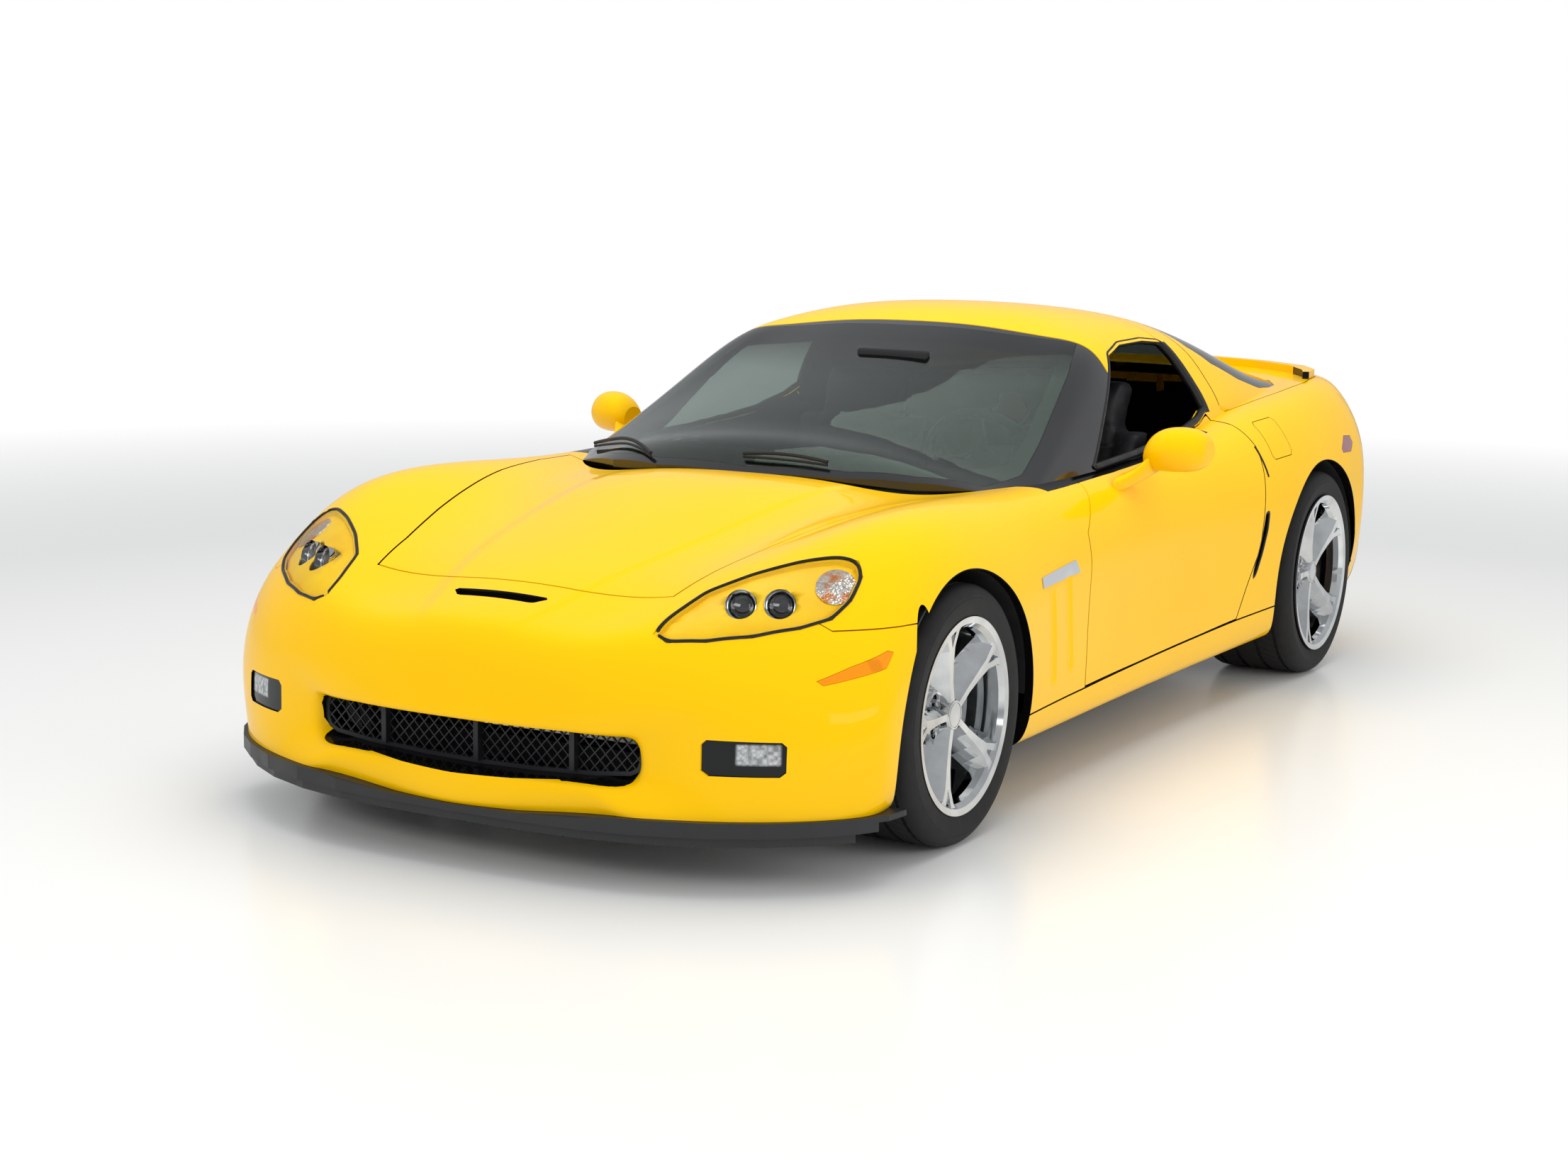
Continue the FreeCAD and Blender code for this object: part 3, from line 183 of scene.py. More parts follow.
# The black frame behind each side window leans with the roof hoop
pillar = {"rearY": 0.655, "topZ": 1.124, "slope": 0.296, "ahead": -0.02, "wide": 0.034, "low": 0.905,
          "inner": 0.45}
lean = compute(tree, "MULTIPLY", pillar["slope"], compute(tree, "SUBTRACT", pillar["topZ"], height))
behind = compute(tree, "SUBTRACT", along, compute(tree, "ADD", pillar["rearY"], lean))
onPillar = everyOne(tree, [between(tree, behind, pillar["ahead"], pillar["wide"]),
                           between(tree, height, pillar["low"], pillar["topZ"]),
                           above(tree, sideways, pillar["inner"])])
hidden = compute(tree, "MAXIMUM", hidden, onPillar)

# The walls inside the mouth, the nose slot and the side vents are black too
openings = [((-0.001, 0.469), (-2.4, -1.9), (0.228, 0.366), "Y", -0.4),
            ((-0.001, 0.139), (-2.06, -2.01), (0.5, 0.7), "Z", 0.4),
            ((0.699, 1.0), (0.68, 0.80), (0.38, 0.61), "X", 0.4)]
for xs, ys, zs, axis, limit in openings:
    turned = facing.outputs[axis]
    if limit < 0:
        edge = above(tree, turned, limit)
    else:
        edge = below(tree, compute(tree, "ABSOLUTE", turned), limit)
    inside = everyOne(tree, [between(tree, sideways, *xs), between(tree, along, *ys),
                             between(tree, height, *zs), edge])
    hidden = compute(tree, "MAXIMUM", hidden, inside)

# Relief: the two creases of the hood's dome, and orange peel in the coat
crease = {"wide": 0.335, "taper": 0.122, "from": -0.9, "soft": 0.045, "height": 0.0065, "low": 0.55,
          "high": 0.62, "until": -0.6}
ahead = compute(tree, "MINIMUM", compute(tree, "SUBTRACT", along, crease["from"]), 0.0)
narrowing = compute(tree, "MULTIPLY", compute(tree, "MULTIPLY", ahead, ahead), crease["taper"])
edge = compute(tree, "SUBTRACT", crease["wide"], narrowing)
rise = addNode(tree, "ShaderNodeMapRange", {"interpolation_type": "SMOOTHSTEP"},
               {"Value": compute(tree, "SUBTRACT", edge, sideways)}, i1=-crease["soft"] / 2,
               i2=crease["soft"] / 2)
onHood = addNode(tree, "ShaderNodeMapRange", {"interpolation_type": "SMOOTHSTEP"}, {"Value": height},
                 i1=crease["low"], i2=crease["high"])
dome = everyOne(tree, [rise.outputs[0], onHood.outputs[0], below(tree, along, crease["until"])])
peel = pattern(tree, "Noise", 420.0, Detail=1.0)
pressed = addNode(tree, "ShaderNodeBump", links={"Height": dome}, Distance=crease["height"])
tree.links.new(pressed.outputs["Normal"], shader.inputs["Normal"])
skinBump = addNode(tree, "ShaderNodeBump", Distance=0.00006, Strength=0.3,
                   links={"Height": peel.outputs["Fac"], "Normal": pressed.outputs["Normal"]})
tree.links.new(skinBump.outputs["Normal"], shader.inputs["Coat Normal"])
tree.links.new(mixColours(tree, hidden, tint, paint["liner"]), shader.inputs["Base Color"])

# The same clearcoat on the mirror heads, which have no hidden faces
mirrorPaint, tree, shader = newMaterial("mirrorCapPaint", paint["colour"], 0.45, **paint["coat"])
patchy(tree, shader, paint["colour"], paint["shade"], 2.2)

# Moulded housing colour behind the lamp covers
lampPaint, tree, shader = newMaterial("lampHousingPaint", "#FFCC00", 0.45, Specular_IOR_Level=0.25)
patchy(tree, shader, "#FFD000", paint["colour"], 9.0)

# Gloss black enamel on the screen pillars
blackEnamel, tree, shader = newMaterial("blackEnamel", "#0B0B0C", 0.16, Coat_Weight=0.6, Coat_Roughness=0.04)
patchyGloss(tree, shader, patchy(tree, shader, "#0B0B0C", "#0F0F10", 6.0), 0.12, 0.22)

# Moulded ABS with a fine spark-eroded grain
blackAbs, tree, shader = newMaterial("blackAbs", "#1B1C1E", 0.45)
grain = pattern(tree, "Voronoi", 900.0)
bumpInto(tree, shader, grain.outputs["Distance"], 0.0002, 0.4)
patchyGloss(tree, shader, patchy(tree, shader, "#1B1C1E", "#242527", 7.0), 0.4, 0.56)

# Soft unpainted polypropylene of liners and seals
blackLiner, tree, shader = newMaterial("polypropyleneLiner", "#141415", 0.62)
patchyGloss(tree, shader, patchy(tree, shader, "#121213", "#1C1C1D", 11.0), 0.55, 0.7)

# EPDM rubber gasket
sealRubber, tree, shader = newMaterial("sealRubber", "#101011", 0.4)
patchyGloss(tree, shader, patchy(tree, shader, "#0F0F10", "#191919", 30.0), 0.34, 0.5)

# Laminated green-tinted glass, with the darker shade band along the top of the screen
glassLook = {"clear": "#93A79B", "shade": "#2B332F", "bandLow": 1.045, "bandHigh": 1.14}
tintedGlass, tree, shader = newMaterial("tintedGlass", glassLook["clear"], 0.0, Transmission_Weight=1.0,
                                        IOR=1.52)
place = addNode(tree, "ShaderNodeSeparateXYZ", links={0: objectCoords(tree)})
band = addNode(tree, "ShaderNodeMapRange", links={"Value": place.outputs["Z"]}, i1=glassLook["bandLow"],
               i2=glassLook["bandHigh"])
glassTint = mixColours(tree, band.outputs[0], glassLook["clear"], glassLook["shade"])
tree.links.new(glassTint, shader.inputs["Base Color"])

# Dark privacy glass of the rear hatch
hatchGlass, tree, shader = newMaterial("greyHatchGlass", "#5C665F", 0.0, Transmission_Weight=1.0, IOR=1.52)
patchy(tree, shader, "#5C665F", "#555F58", 3.0)

# Moulded clear polycarbonate with its hard coat
clearCover, tree, shader = newMaterial("clearPolycarbonate", "#FFFFFF", 0.0, Transmission_Weight=1.0,
                                       IOR=1.07)
swirl = pattern(tree, "Noise", 14.0, Detail=1.0)
bumpInto(tree, shader, swirl.outputs["Fac"], 0.0004, 0.1)

# Red acrylic lens with prism rings
redAcrylic, tree, shader = newMaterial("redAcrylic", "#A3070B", 0.1, Transmission_Weight=0.25,
                                       Coat_Weight=1.0)
rings = pattern(tree, "Wave", 60.0, {"wave_type": "BANDS", "bands_direction": "Z"})
bumpInto(tree, shader, rings.outputs["Fac"], 0.0006, 0.5)
patchy(tree, shader, "#A3070B", "#860508", 20.0)

# Front lamps: amber acrylic markers with prism lines above, smoked polycarbonate fog lamps below, their
# reflector bowls coloured with painted glints
frontAcrylic, tree, shader = newMaterial("amberAndSmokedAcrylic", "#E8560E", 0.12, Specular_IOR_Level=0.3)
markerLook = {"low": 0.42, "soft": 0.004, "round": ((-1.856, -1.828), (0.508, 0.536)),
              "bowl": ((0.688, 0.776), (0.306, 0.352))}
place = addNode(tree, "ShaderNodeSeparateXYZ", links={0: objectCoords(tree)})
height = place.outputs["Z"]
upper = above(tree, height, markerLook["low"])
lines = pattern(tree, "Wave", 95.0, {"wave_type": "BANDS", "bands_direction": "DIAGONAL"})
amber = mixColours(tree, lines.outputs["Fac"], "#FF9A08", "#EE7A02")
sideways = compute(tree, "ABSOLUTE", place.outputs["X"])


def nearTo(tree, value, low, high):
    middle = compute(tree, "ABSOLUTE", compute(tree, "SUBTRACT", value, (low + high) / 2))
    soft = addNode(tree, "ShaderNodeMapRange", {"interpolation_type": "SMOOTHSTEP"}, {"Value": middle},
                   i1=(high - low) / 2 + markerLook["soft"], i2=(high - low) / 2 - markerLook["soft"])
    return soft.outputs[0]


bowl = everyOne(tree, [nearTo(tree, sideways, *markerLook["bowl"][0]),
                       nearTo(tree, height, *markerLook["bowl"][1])])
button = everyOne(tree, [nearTo(tree, place.outputs["Y"], *markerLook["round"][0]),
                         nearTo(tree, height, *markerLook["round"][1])])
# fog lamp bowl: each cell is painted bright in the middle and dark at its edge as painted glints; the same
# cells give the prism bump
bowlFacetsAndGlints = pattern(tree, "Voronoi", 95.0, {"distance": "CHEBYCHEV"})
silverWithPaintedGlints = mixColours(tree, bowlFacetsAndGlints.outputs["Distance"], "#C9CCCD", "#2E3032")
smoked = mixColours(tree, bowl, "#121314", silverWithPaintedGlints)
amberAndRound = mixColours(tree, button, amber, "#DB7F04")
tree.links.new(mixColours(tree, upper, smoked, amberAndRound), shader.inputs["Base Color"])
prism = compute(tree, "MAXIMUM", compute(tree, "MULTIPLY", lines.outputs["Fac"], upper),
                compute(tree, "MULTIPLY", bowlFacetsAndGlints.outputs["Distance"], bowl))
bumpInto(tree, shader, prism, 0.0008, 0.5)

# Chromed cast aluminium of the wheels, with patches of fine brake dust
chromeFinish, tree, shader = newMaterial("chromedAluminium", "#D6D8D9", 0.06, 1.0)
haze = patchy(tree, shader, "#DCDEDF", "#BFC1C2", 9.0)
patchyGloss(tree, shader, haze, 0.04, 0.12)

# Vulcanised rubber with moulded sidewall rings and a cut tread, laid out on the tyre's own UVs; the tread
# slots are coloured near-black as painted shade in the grooves
tread = {"half": 0.126, "middle": 0.030, "pitch": 0.034, "slot": 0.13, "lean": 0.55, "depth": 0.003,
         "grainDepth": 0.08}
tyreRubber, tree, shader = newMaterial("tyreRubber", "#1E1E1F", 0.68, Specular_IOR_Level=0.3)
unrolled = addNode(tree, "ShaderNodeUVMap", {"uv_map": "unrolled"})
place = addNode(tree, "ShaderNodeSeparateXYZ", links={0: unrolled.outputs["UV"]})
across = compute(tree, "ABSOLUTE", place.outputs["Y"])
slanted = compute(tree, "ADD", place.outputs["X"], compute(tree, "MULTIPLY", across, tread["lean"]))
step = compute(tree, "FRACT", compute(tree, "DIVIDE", slanted, tread["pitch"]))
slots = everyOne(tree, [below(tree, step, tread["slot"]),
                        between(tree, across, tread["middle"], tread["half"])])
dust = pattern(tree, "Noise", 35.0, Detail=6.0)
rubber = mixColours(tree, dust.outputs["Fac"], "#19191A", "#262625")
# the slots' near-black colour is painted shade in the tread grooves; the rubber round them takes the dusty
# mix
tree.links.new(mixColours(tree, slots, rubber, "#0B0B0B"), shader.inputs["Base Color"])
fine = compute(tree, "MULTIPLY", dust.outputs["Fac"], tread["grainDepth"])
bumpInto(tree, shader, compute(tree, "SUBTRACT", fine, slots), tread["depth"], 0.9)

# Grey iron, turned, with a film of rust on the swept face
discIron, tree, shader = newMaterial("turnedIron", "#6E655D", 0.42, 0.85)
turnedRings = pattern(tree, "Noise", 9.0, stretch=(1, 40, 40))
patchyGloss(tree, shader, patchy(tree, shader, "#7A6F66", "#57493C", 14.0), 0.34, 0.6)
bumpInto(tree, shader, turnedRings.outputs["Fac"], 0.0003, 0.4)

# Silver stoving enamel on the calipers and cast carriers
castAlloy, tree, shader = newMaterial("silverEnamelCasting", "#A9ACAE", 0.42, 0.55)
patchyGloss(tree, shader, patchy(tree, shader, "#B3B6B8", "#909395", 26.0), 0.36, 0.56)

# Needle-felt carpet
feltCarpet, tree, shader = newMaterial("feltCarpet", "#141415", 0.95, Sheen_Weight=0.3)
fibre = pattern(tree, "Noise", 700.0, Detail=3.0)
bumpInto(tree, shader, fibre.outputs["Fac"], 0.002, 0.8)
patchy(tree, shader, "#121213", "#1D1D1F", 60.0)

# Grained black leather
blackLeather, tree, shader = newMaterial("blackLeather", "#1D1D1F", 0.42)
pores = pattern(tree, "Voronoi", 420.0, {"feature": "DISTANCE_TO_EDGE"})
bumpInto(tree, shader, pores.outputs["Distance"], 0.0004, 0.5)
patchyGloss(tree, shader, patchy(tree, shader, "#1B1B1D", "#2A2A2C", 12.0), 0.36, 0.52)

# Powder coated steel
frameSteel, tree, shader = newMaterial("powderCoatedSteel", "#1B1C1D", 0.55)
patchyGloss(tree, shader, patchy(tree, shader, "#1B1C1D", "#2A2927", 8.0), 0.48, 0.66)

# Brushed stainless steel, browned by heat in patches
stainless, tree, shader = newMaterial("brushedStainless", "#B9BABB", 0.25, 1.0)
brush = pattern(tree, "Noise", 1.0, stretch=(400, 6, 400))
patchyGloss(tree, shader, patchy(tree, shader, "#BDBEBE", "#9A948A", 5.0), 0.2, 0.36)
bumpInto(tree, shader, brush.outputs["Fac"], 0.0002, 0.3)

# Prism patterned clear lens over a silver-coated dish with an amber bulb; its facets are painted bright in
# the middle and dark at the edge as painted glints, and warm patches are a painted reflection of the bulb
prismReflector, tree, shader = newMaterial("prismReflector", "#D9DAD8", 0.12, 0.75)
facets = pattern(tree, "Voronoi", 150.0, {"distance": "CHEBYCHEV"}, (1, 1, 1.7))
bumpInto(tree, shader, facets.outputs["Distance"], 0.004, 1.0)
# warm noise patches: a painted reflection of the amber bulb in the dish
amberReflectionNoise = pattern(tree, "Noise", 24.0)
paintedAmberReflection = addNode(tree, "ShaderNodeMapRange", links={"Value": amberReflectionNoise.outputs["Fac"]}, i1=0.5, i2=0.68)
# facet cells painted bright in the middle and dark at the edge: painted glints
paintedFacetGlints = mixColours(tree, facets.outputs["Distance"], "#F2F2F0", "#8E8C86")
tree.links.new(mixColours(tree, paintedAmberReflection.outputs[0], paintedFacetGlints, "#D98A4A"), shader.inputs["Base Color"])

# Projector glass: a dark ball behind clear glass
projectorGlass, tree, shader = newMaterial("projectorGlass", "#24272A", 0.03, Coat_Weight=1.0,
                                           Coat_Roughness=0.0)
patchy(tree, shader, "#2A2D30", "#1B1D1F", 30.0)

# Satin silver trim plate
satinSilver, tree, shader = newMaterial("satinSilverTrim", "#D2D4D6", 0.3, 0.35)
patchyGloss(tree, shader, patchy(tree, shader, "#C6C9CC", "#C0C3C6", 2.0), 0.3, 0.32)

print("materials made")

wheelMarks = ("fl", "fr", "rl", "rr")
wornBy = [
    (panelPaint, ["hood", "front_fascia", "fenders", "door_left", "door_right", "quarters", "rear_fascia",
                  "rocker_panels", "roof_panel", "hatch_frame", "fuel_door"]),
    (mirrorPaint, ["mirror_left", "mirror_right"]),
    (blackEnamel, ["windshield_frame"]),
    (blackAbs, ["front_splitter", "grille", "dashboard"]),
    (blackLiner, ["wheel_liners"]),
    (tintedGlass, ["windshield"]),
    (hatchGlass, ["hatch_glass"]),
    (lampPaint, ["headlamps"]),
    (clearCover, ["headlamp_lenses"]),
    (frontAcrylic, ["front_lamps"]),
    (redAcrylic, ["tail_lamps"]),
    (castAlloy, ["knuckle_fl", "knuckle_fr", "knuckles_rear", "suspension_arms", "powertrain"]),
    (feltCarpet, ["cabin_tub"]),
    (blackLeather, ["seats", "steering_wheel"]),
    (frameSteel, ["chassis_frame"]),
    (stainless, ["exhaust"]),
    (tyreRubber, ["tyre_" + corner for corner in wheelMarks]),
    (chromeFinish, ["wheel_" + corner for corner in wheelMarks]),
    (discIron, ["brake_disc_" + corner for corner in wheelMarks]),
]
for material, names in wornBy:
    for name in names:
        mesh = nodes[name].data
        mesh.materials.clear()
        mesh.materials.append(material)
print("materials set")


# helpers for new pieces
def meshPiece(name, mesh, material, body, smoothTo=35):
    piece = bpy.data.objects.new(name, mesh)
    bpy.context.scene.collection.objects.link(piece)
    mesh.materials.clear()
    mesh.materials.append(material)
    mesh.shade_smooth()
    mesh.set_sharp_from_angle(angle=math.radians(smoothTo))
    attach(piece, body)
    return piece


def newPiece(name, work, material, body, smoothTo=35):
    bmesh.ops.recalc_face_normals(work, faces=work.faces)
    mesh = bpy.data.meshes.new(name)
    work.to_mesh(mesh)
    work.free()
    return meshPiece(name, mesh, material, body, smoothTo)


def bothSides(work):
    bmesh.ops.mirror(work, geom=work.verts[:] + work.edges[:] + work.faces[:], axis="X", merge_dist=0.0)


def joinedSkin(*names):
    work = bmesh.new()
    for name in names:
        work.from_mesh(nodes[name].data)
    skin = BVHTree.FromBMesh(work)
    work.free()
    return skin


def denseLine(points, closed=True, step=0.006, passes=10):
    ring = [Vector(point) for point in points]
    pairs = list(zip(ring, ring[1:] + (ring[:1] if closed else [])))
    line = []
    for start, end in pairs:
        count = max(1, round((end - start).length / step))
        line += [start.lerp(end, index / count) for index in range(count)]
    if not closed:
        line.append(ring[-1])
    for _ in range(passes):
        last = line[:]
        for index in range(0 if closed else 1, len(line) if closed else len(line) - 1):
            line[index] = (last[index - 1] + last[index] * 2 + last[(index + 1) % len(line)]) / 4
    return line


def droppedLine(line, skin, gap=0.006, lift=0.0, closed=True, toward=(0, 0, -1)):
    toward = Vector(toward)
    reach = 1.6
    result = []
    for index, point in enumerate(line):
        after = line[(index + 1) % len(line)] if closed or index + 1 < len(line) else point
        before = line[index - 1] if closed or index else point
        side = (after - before).normalized().cross(toward) * gap
        hits = [skin.ray_cast(point - toward * reach + offset, toward)[0] for offset in (side, -side)]
        depths = [hit.dot(toward) for hit in hits if hit]
        if depths:
            result.append(point + toward * (sum(depths) / len(depths) - lift - point.dot(toward)))
    return result


def tubeMesh(line, radius, closed=True, steps=2):
    path = bpy.data.curves.new("path", "CURVE")
    path.dimensions = "3D"
    path.bevel_depth = radius
    path.bevel_resolution = steps
    path.use_fill_caps = not closed
    spline = path.splines.new("POLY")
    spline.points.add(len(line) - 1)
    for target, point in zip(spline.points, line):
        target.co = (*point, 1.0)
    spline.use_cyclic_u = closed
    holder = bpy.data.objects.new("path", path)
    mesh = bpy.data.meshes.new_from_object(holder)
    bpy.data.objects.remove(holder)
    bpy.data.curves.remove(path)
    return mesh


def aimed(spot, direction):
    turnTo = Vector((0, 0, 1)).rotation_difference(Vector(direction)).to_matrix().to_4x4()
    return Matrix.Translation(spot) @ turnTo


def addCone(work, spot, direction, radius, tip, length, segments=32, ends=True):
    place = aimed(Vector(spot) + Vector(direction).normalized() * length / 2, direction)
    return bmesh.ops.create_cone(work, cap_ends=ends, segments=segments, radius1=radius, radius2=tip,
                                 depth=length, matrix=place)["verts"]


def booled(target, cutter, operation):
    change = target.modifiers.new("cut", "BOOLEAN")
    change.operation = operation
    change.object = cutter
    change.solver = "EXACT"
    bpy.context.view_layer.update()
    made = bpy.data.meshes.new_from_object(target.evaluated_get(bpy.context.evaluated_depsgraph_get()))
    target.modifiers.clear()
    return made


# tyres: a turned sidewall and tread profile, its grooves and rings in the profile itself
tyre = {"front": {"spot": (0.8015, -1.392, 0.325), "radius": 0.325, "half": 0.1374, "bead": 0.243},
        "rear": {"spot": (0.794, 1.293, 0.339), "radius": 0.339, "half": 0.1625, "bead": 0.255},
        "steps": 120, "lining": (0.9, 0.01),
        "profile": [(125.5, 243), (130.4, 246), (132, 250), (134.5, 262), (136.6, 275), (137.4, 288),
                    (137.4, 291), (136, 293), (135.7, 297), (136.2, 298.5), (135.4, 300), (133.6, 305),
                    (131, 309.5), (127, 314.5), (120, 319.5), (111.5, 323.4), (104, 324.4), (94.5, 324.8),
                    (93.5, 317.5), (85.5, 317.5), (84.5, 325), (38, 325), (37, 318), (27, 318), (26, 325)]}


def tyreMesh(size):
    drawn = tyre["front"]
    wide = size["half"] / drawn["half"]
    tall = (size["radius"] - size["bead"]) / (drawn["radius"] - drawn["bead"])
    half = [(u / 1000 * wide, size["radius"] - (drawn["radius"] - r / 1000) * tall)
            for u, r in tyre["profile"]]
    outline = [(-u, r) for u, r in half] + [(u, r) for u, r in reversed(half)]
    share, raised = tyre["lining"]
    outline.append((half[0][0] * share, half[0][1] + raised))
    outline.append((-half[0][0] * share, half[0][1] + raised))
    work = bmesh.new()
    ring = [work.verts.new((u, 0.0, r)) for u, r in outline]
    edges = [work.edges.new((ring[i], ring[(i + 1) % len(ring)])) for i in range(len(ring))]
    bmesh.ops.spin(work, geom=ring + edges, cent=(0, 0, 0), axis=(1, 0, 0), angle=math.tau,
                   steps=tyre["steps"], use_merge=True)
    bmesh.ops.remove_doubles(work, verts=work.verts, dist=1e-6)
    lengths = {}
    walked = -sum((Vector(b) - Vector(a)).length for a, b in zip(outline[:-2], outline[1:-2])) / 2
    for before, point in zip([outline[0]] + outline, outline):
        walked += (Vector(point) - Vector(before)).length
        lengths[(round(point[0], 5), round(point[1], 5))] = walked
    layer = work.loops.layers.uv.new("unrolled")
    for face in work.faces:
        angles = [math.atan2(loop.vert.co.y, loop.vert.co.z) for loop in face.loops]
        for loop, angle in zip(face.loops, angles):
            if max(angles) - min(angles) > math.pi and angle < 0:
                angle += math.tau
            place = (round(loop.vert.co.x, 5), round(math.hypot(loop.vert.co.y, loop.vert.co.z), 5))
            nearest = min(lengths, key=lambda key: abs(key[0] - place[0]) + abs(key[1] - place[1]))
            loop[layer].uv = (angle * size["radius"], lengths[nearest])
    return work


nut = {"circle": 0.0603, "radius": 0.0108, "length": 0.022, "seat": 0.0135, "seatHeight": 0.004,
       "seatTaper": 0.92, "sunk": 0.001, "shank": 0.003, "chamfer": (0.0022, 0.0018), "count": 5,
       "first": 17.0, "frontX": 0.8595, "rearX": 0.883}
for end, letter in (("front", "f"), ("rear", "r")):
    size = tyre[end]
    for side, mark in ((1, "l"), (-1, "r")):
        corner = letter + mark
        body = "road_wheel_" + corner
        work = tyreMesh(size)
        place = Matrix.Translation((side * size["spot"][0], size["spot"][1], size["spot"][2]))
        bmesh.ops.transform(work, matrix=place, verts=work.verts)
        rubber = newPiece("tyreTread_" + corner, work, tyreRubber, body, 40)
        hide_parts("tyre_" + corner)
        work = bmesh.new()
        out = Vector((side, 0, 0))
        for index in range(nut["count"]):
            angle = math.radians(nut["first"] + 360 / nut["count"] * (index + 0.5))
            base = Vector((side * nut[end + "X"], size["spot"][1] - nut["circle"] * math.sin(angle),
                           size["spot"][2] + nut["circle"] * math.cos(angle)))
            addCone(work, base - out * nut["sunk"], out, nut["seat"], nut["seat"] * nut["seatTaper"],
                    nut["seatHeight"], 24)
            made = addCone(work, base + out * nut["shank"], out, nut["radius"], nut["radius"],
                           nut["length"] - nut["shank"], 6)
            faces = {face for vertex in made for face in vertex.link_faces}
            tip = [face for face in faces if face.normal.dot(out) > 0.9]
            inset, raised = nut["chamfer"]
            bmesh.ops.inset_region(work, faces=tip, thickness=inset, depth=raised)
        newPiece("wheelNuts_" + corner, work, chromeFinish, body, 25)
print("tyres and nuts made")

# headlamps: yellow housing shell close under the cover, projectors, round prism lamp and rubber gasket
lamp = {"line": [(478, -2092), (484, -2040), (516, -1926), (590, -1842), (675, -1770), (752, -1716),
                 (794, -1704), (820, -1734), (827, -1798), (812, -1862), (764, -1924), (683, -1999),
                 (595, -2058), (514, -2096)],
        "sink": (-0.35, 0.65, -0.65), "depth": 0.014, "gasket": 0.0046, "gasketSunk": 0.0012,
        "projectors": [(0.621, -1.949, 0.656), (0.700, -1.906, 0.658)], "throat": 0.0365,
        "aim": (0.36, -0.88, 0.3), "set": 0.012, "ballRadius": 0.0295, "ballSet": 0.012, "ballFlat": 0.55,
        "rim": [(0.0361, 0.016), (0.0357, 0.0), (0.0345, -0.003), (0.032, -0.001), (0.0295, -0.006),
                (0.029, -0.02)],
        "prismSpot": (0.771, -1.765, 0.676), "prismRadius": 0.046, "prismLift": 0.003}
skin = joinedSkin("headlamp_lenses", "fenders", "front_fascia", "hood")
line = [(x / 1000, y / 1000, 0.0) for x, y in lamp["line"]]
gasket = droppedLine(denseLine(line), skin, lift=-lamp["gasketSunk"])
work = bmesh.new()
work.from_mesh(tubeMesh(gasket, lamp["gasket"]))
bothSides(work)
newPiece("lampGaskets", work, sealRubber, "car_body", 60)

shellMesh = nodes["headlamp_lenses"].data.copy()
for vertex in shellMesh.vertices:
    sink = Vector(lamp["sink"]) * lamp["depth"]
    vertex.co += Vector((math.copysign(sink.x, -vertex.co.x), sink.y, sink.z))
shell = meshPiece("lampHousings", shellMesh, lampPaint, "car_body")
work = bmesh.new()
forward = Vector(lamp["aim"]).normalized()
sunk = Vector(lamp["sink"]) * lamp["depth"] - forward * lamp["set"]
lampSpots = [Vector(spot) + sunk for spot in lamp["projectors"]]
for spot in lampSpots:
    addCone(work, spot - forward * 0.02, forward, lamp["throat"], lamp["throat"], 0.2, 40)
bothSides(work)
throats = newPiece("throatCutter", work, lampPaint, "car_body")
work = bmesh.new()
addCone(work, Vector(lamp["prismSpot"]) - forward * 0.1, forward, lamp["prismRadius"], lamp["prismRadius"],
        0.2, 48)
bothSides(work)
dishCutter = newPiece("dishCutter", work, lampPaint, "car_body")
dishMesh = booled(shell, dishCutter, "INTERSECT")
for vertex in dishMesh.vertices:
    sink = Vector((math.copysign(lamp["sink"][0], -vertex.co.x), *lamp["sink"][1:]))
    vertex.co -= sink * lamp["prismLift"]
meshPiece("prismLamps", dishMesh, prismReflector, "car_body")
cutShell = booled(shell, throats, "DIFFERENCE")
shell.data = cutShell
for extra in (throats, dishCutter):
    bpy.data.objects.remove(extra)
rimWork = bmesh.new()
ballWork = bmesh.new()
for spot in lampSpots:
    place = aimed(spot, forward)
    ring = [rimWork.verts.new(place @ Vector((r, 0, depth))) for r, depth in lamp["rim"]]
    edges = [rimWork.edges.new(pair) for pair in zip(ring, ring[1:])]
    bmesh.ops.spin(rimWork, geom=ring + edges, cent=spot, axis=forward, angle=math.tau, steps=48,
                   use_merge=True)
    dome = (place @ Matrix.Translation((0, 0, -lamp["ballSet"]))
            @ Matrix.Diagonal((1, 1, lamp["ballFlat"], 1)))
    bmesh.ops.create_uvsphere(ballWork, u_segments=40, v_segments=24, radius=lamp["ballRadius"], matrix=dome)
for work in (rimWork, ballWork):
    bmesh.ops.remove_doubles(work, verts=work.verts, dist=1e-6)
    bothSides(work)
newPiece("projectorRims", rimWork, chromeFinish, "car_body", 40)
newPiece("projectorBalls", ballWork, projectorGlass, "car_body", 60)
print("headlamps made")

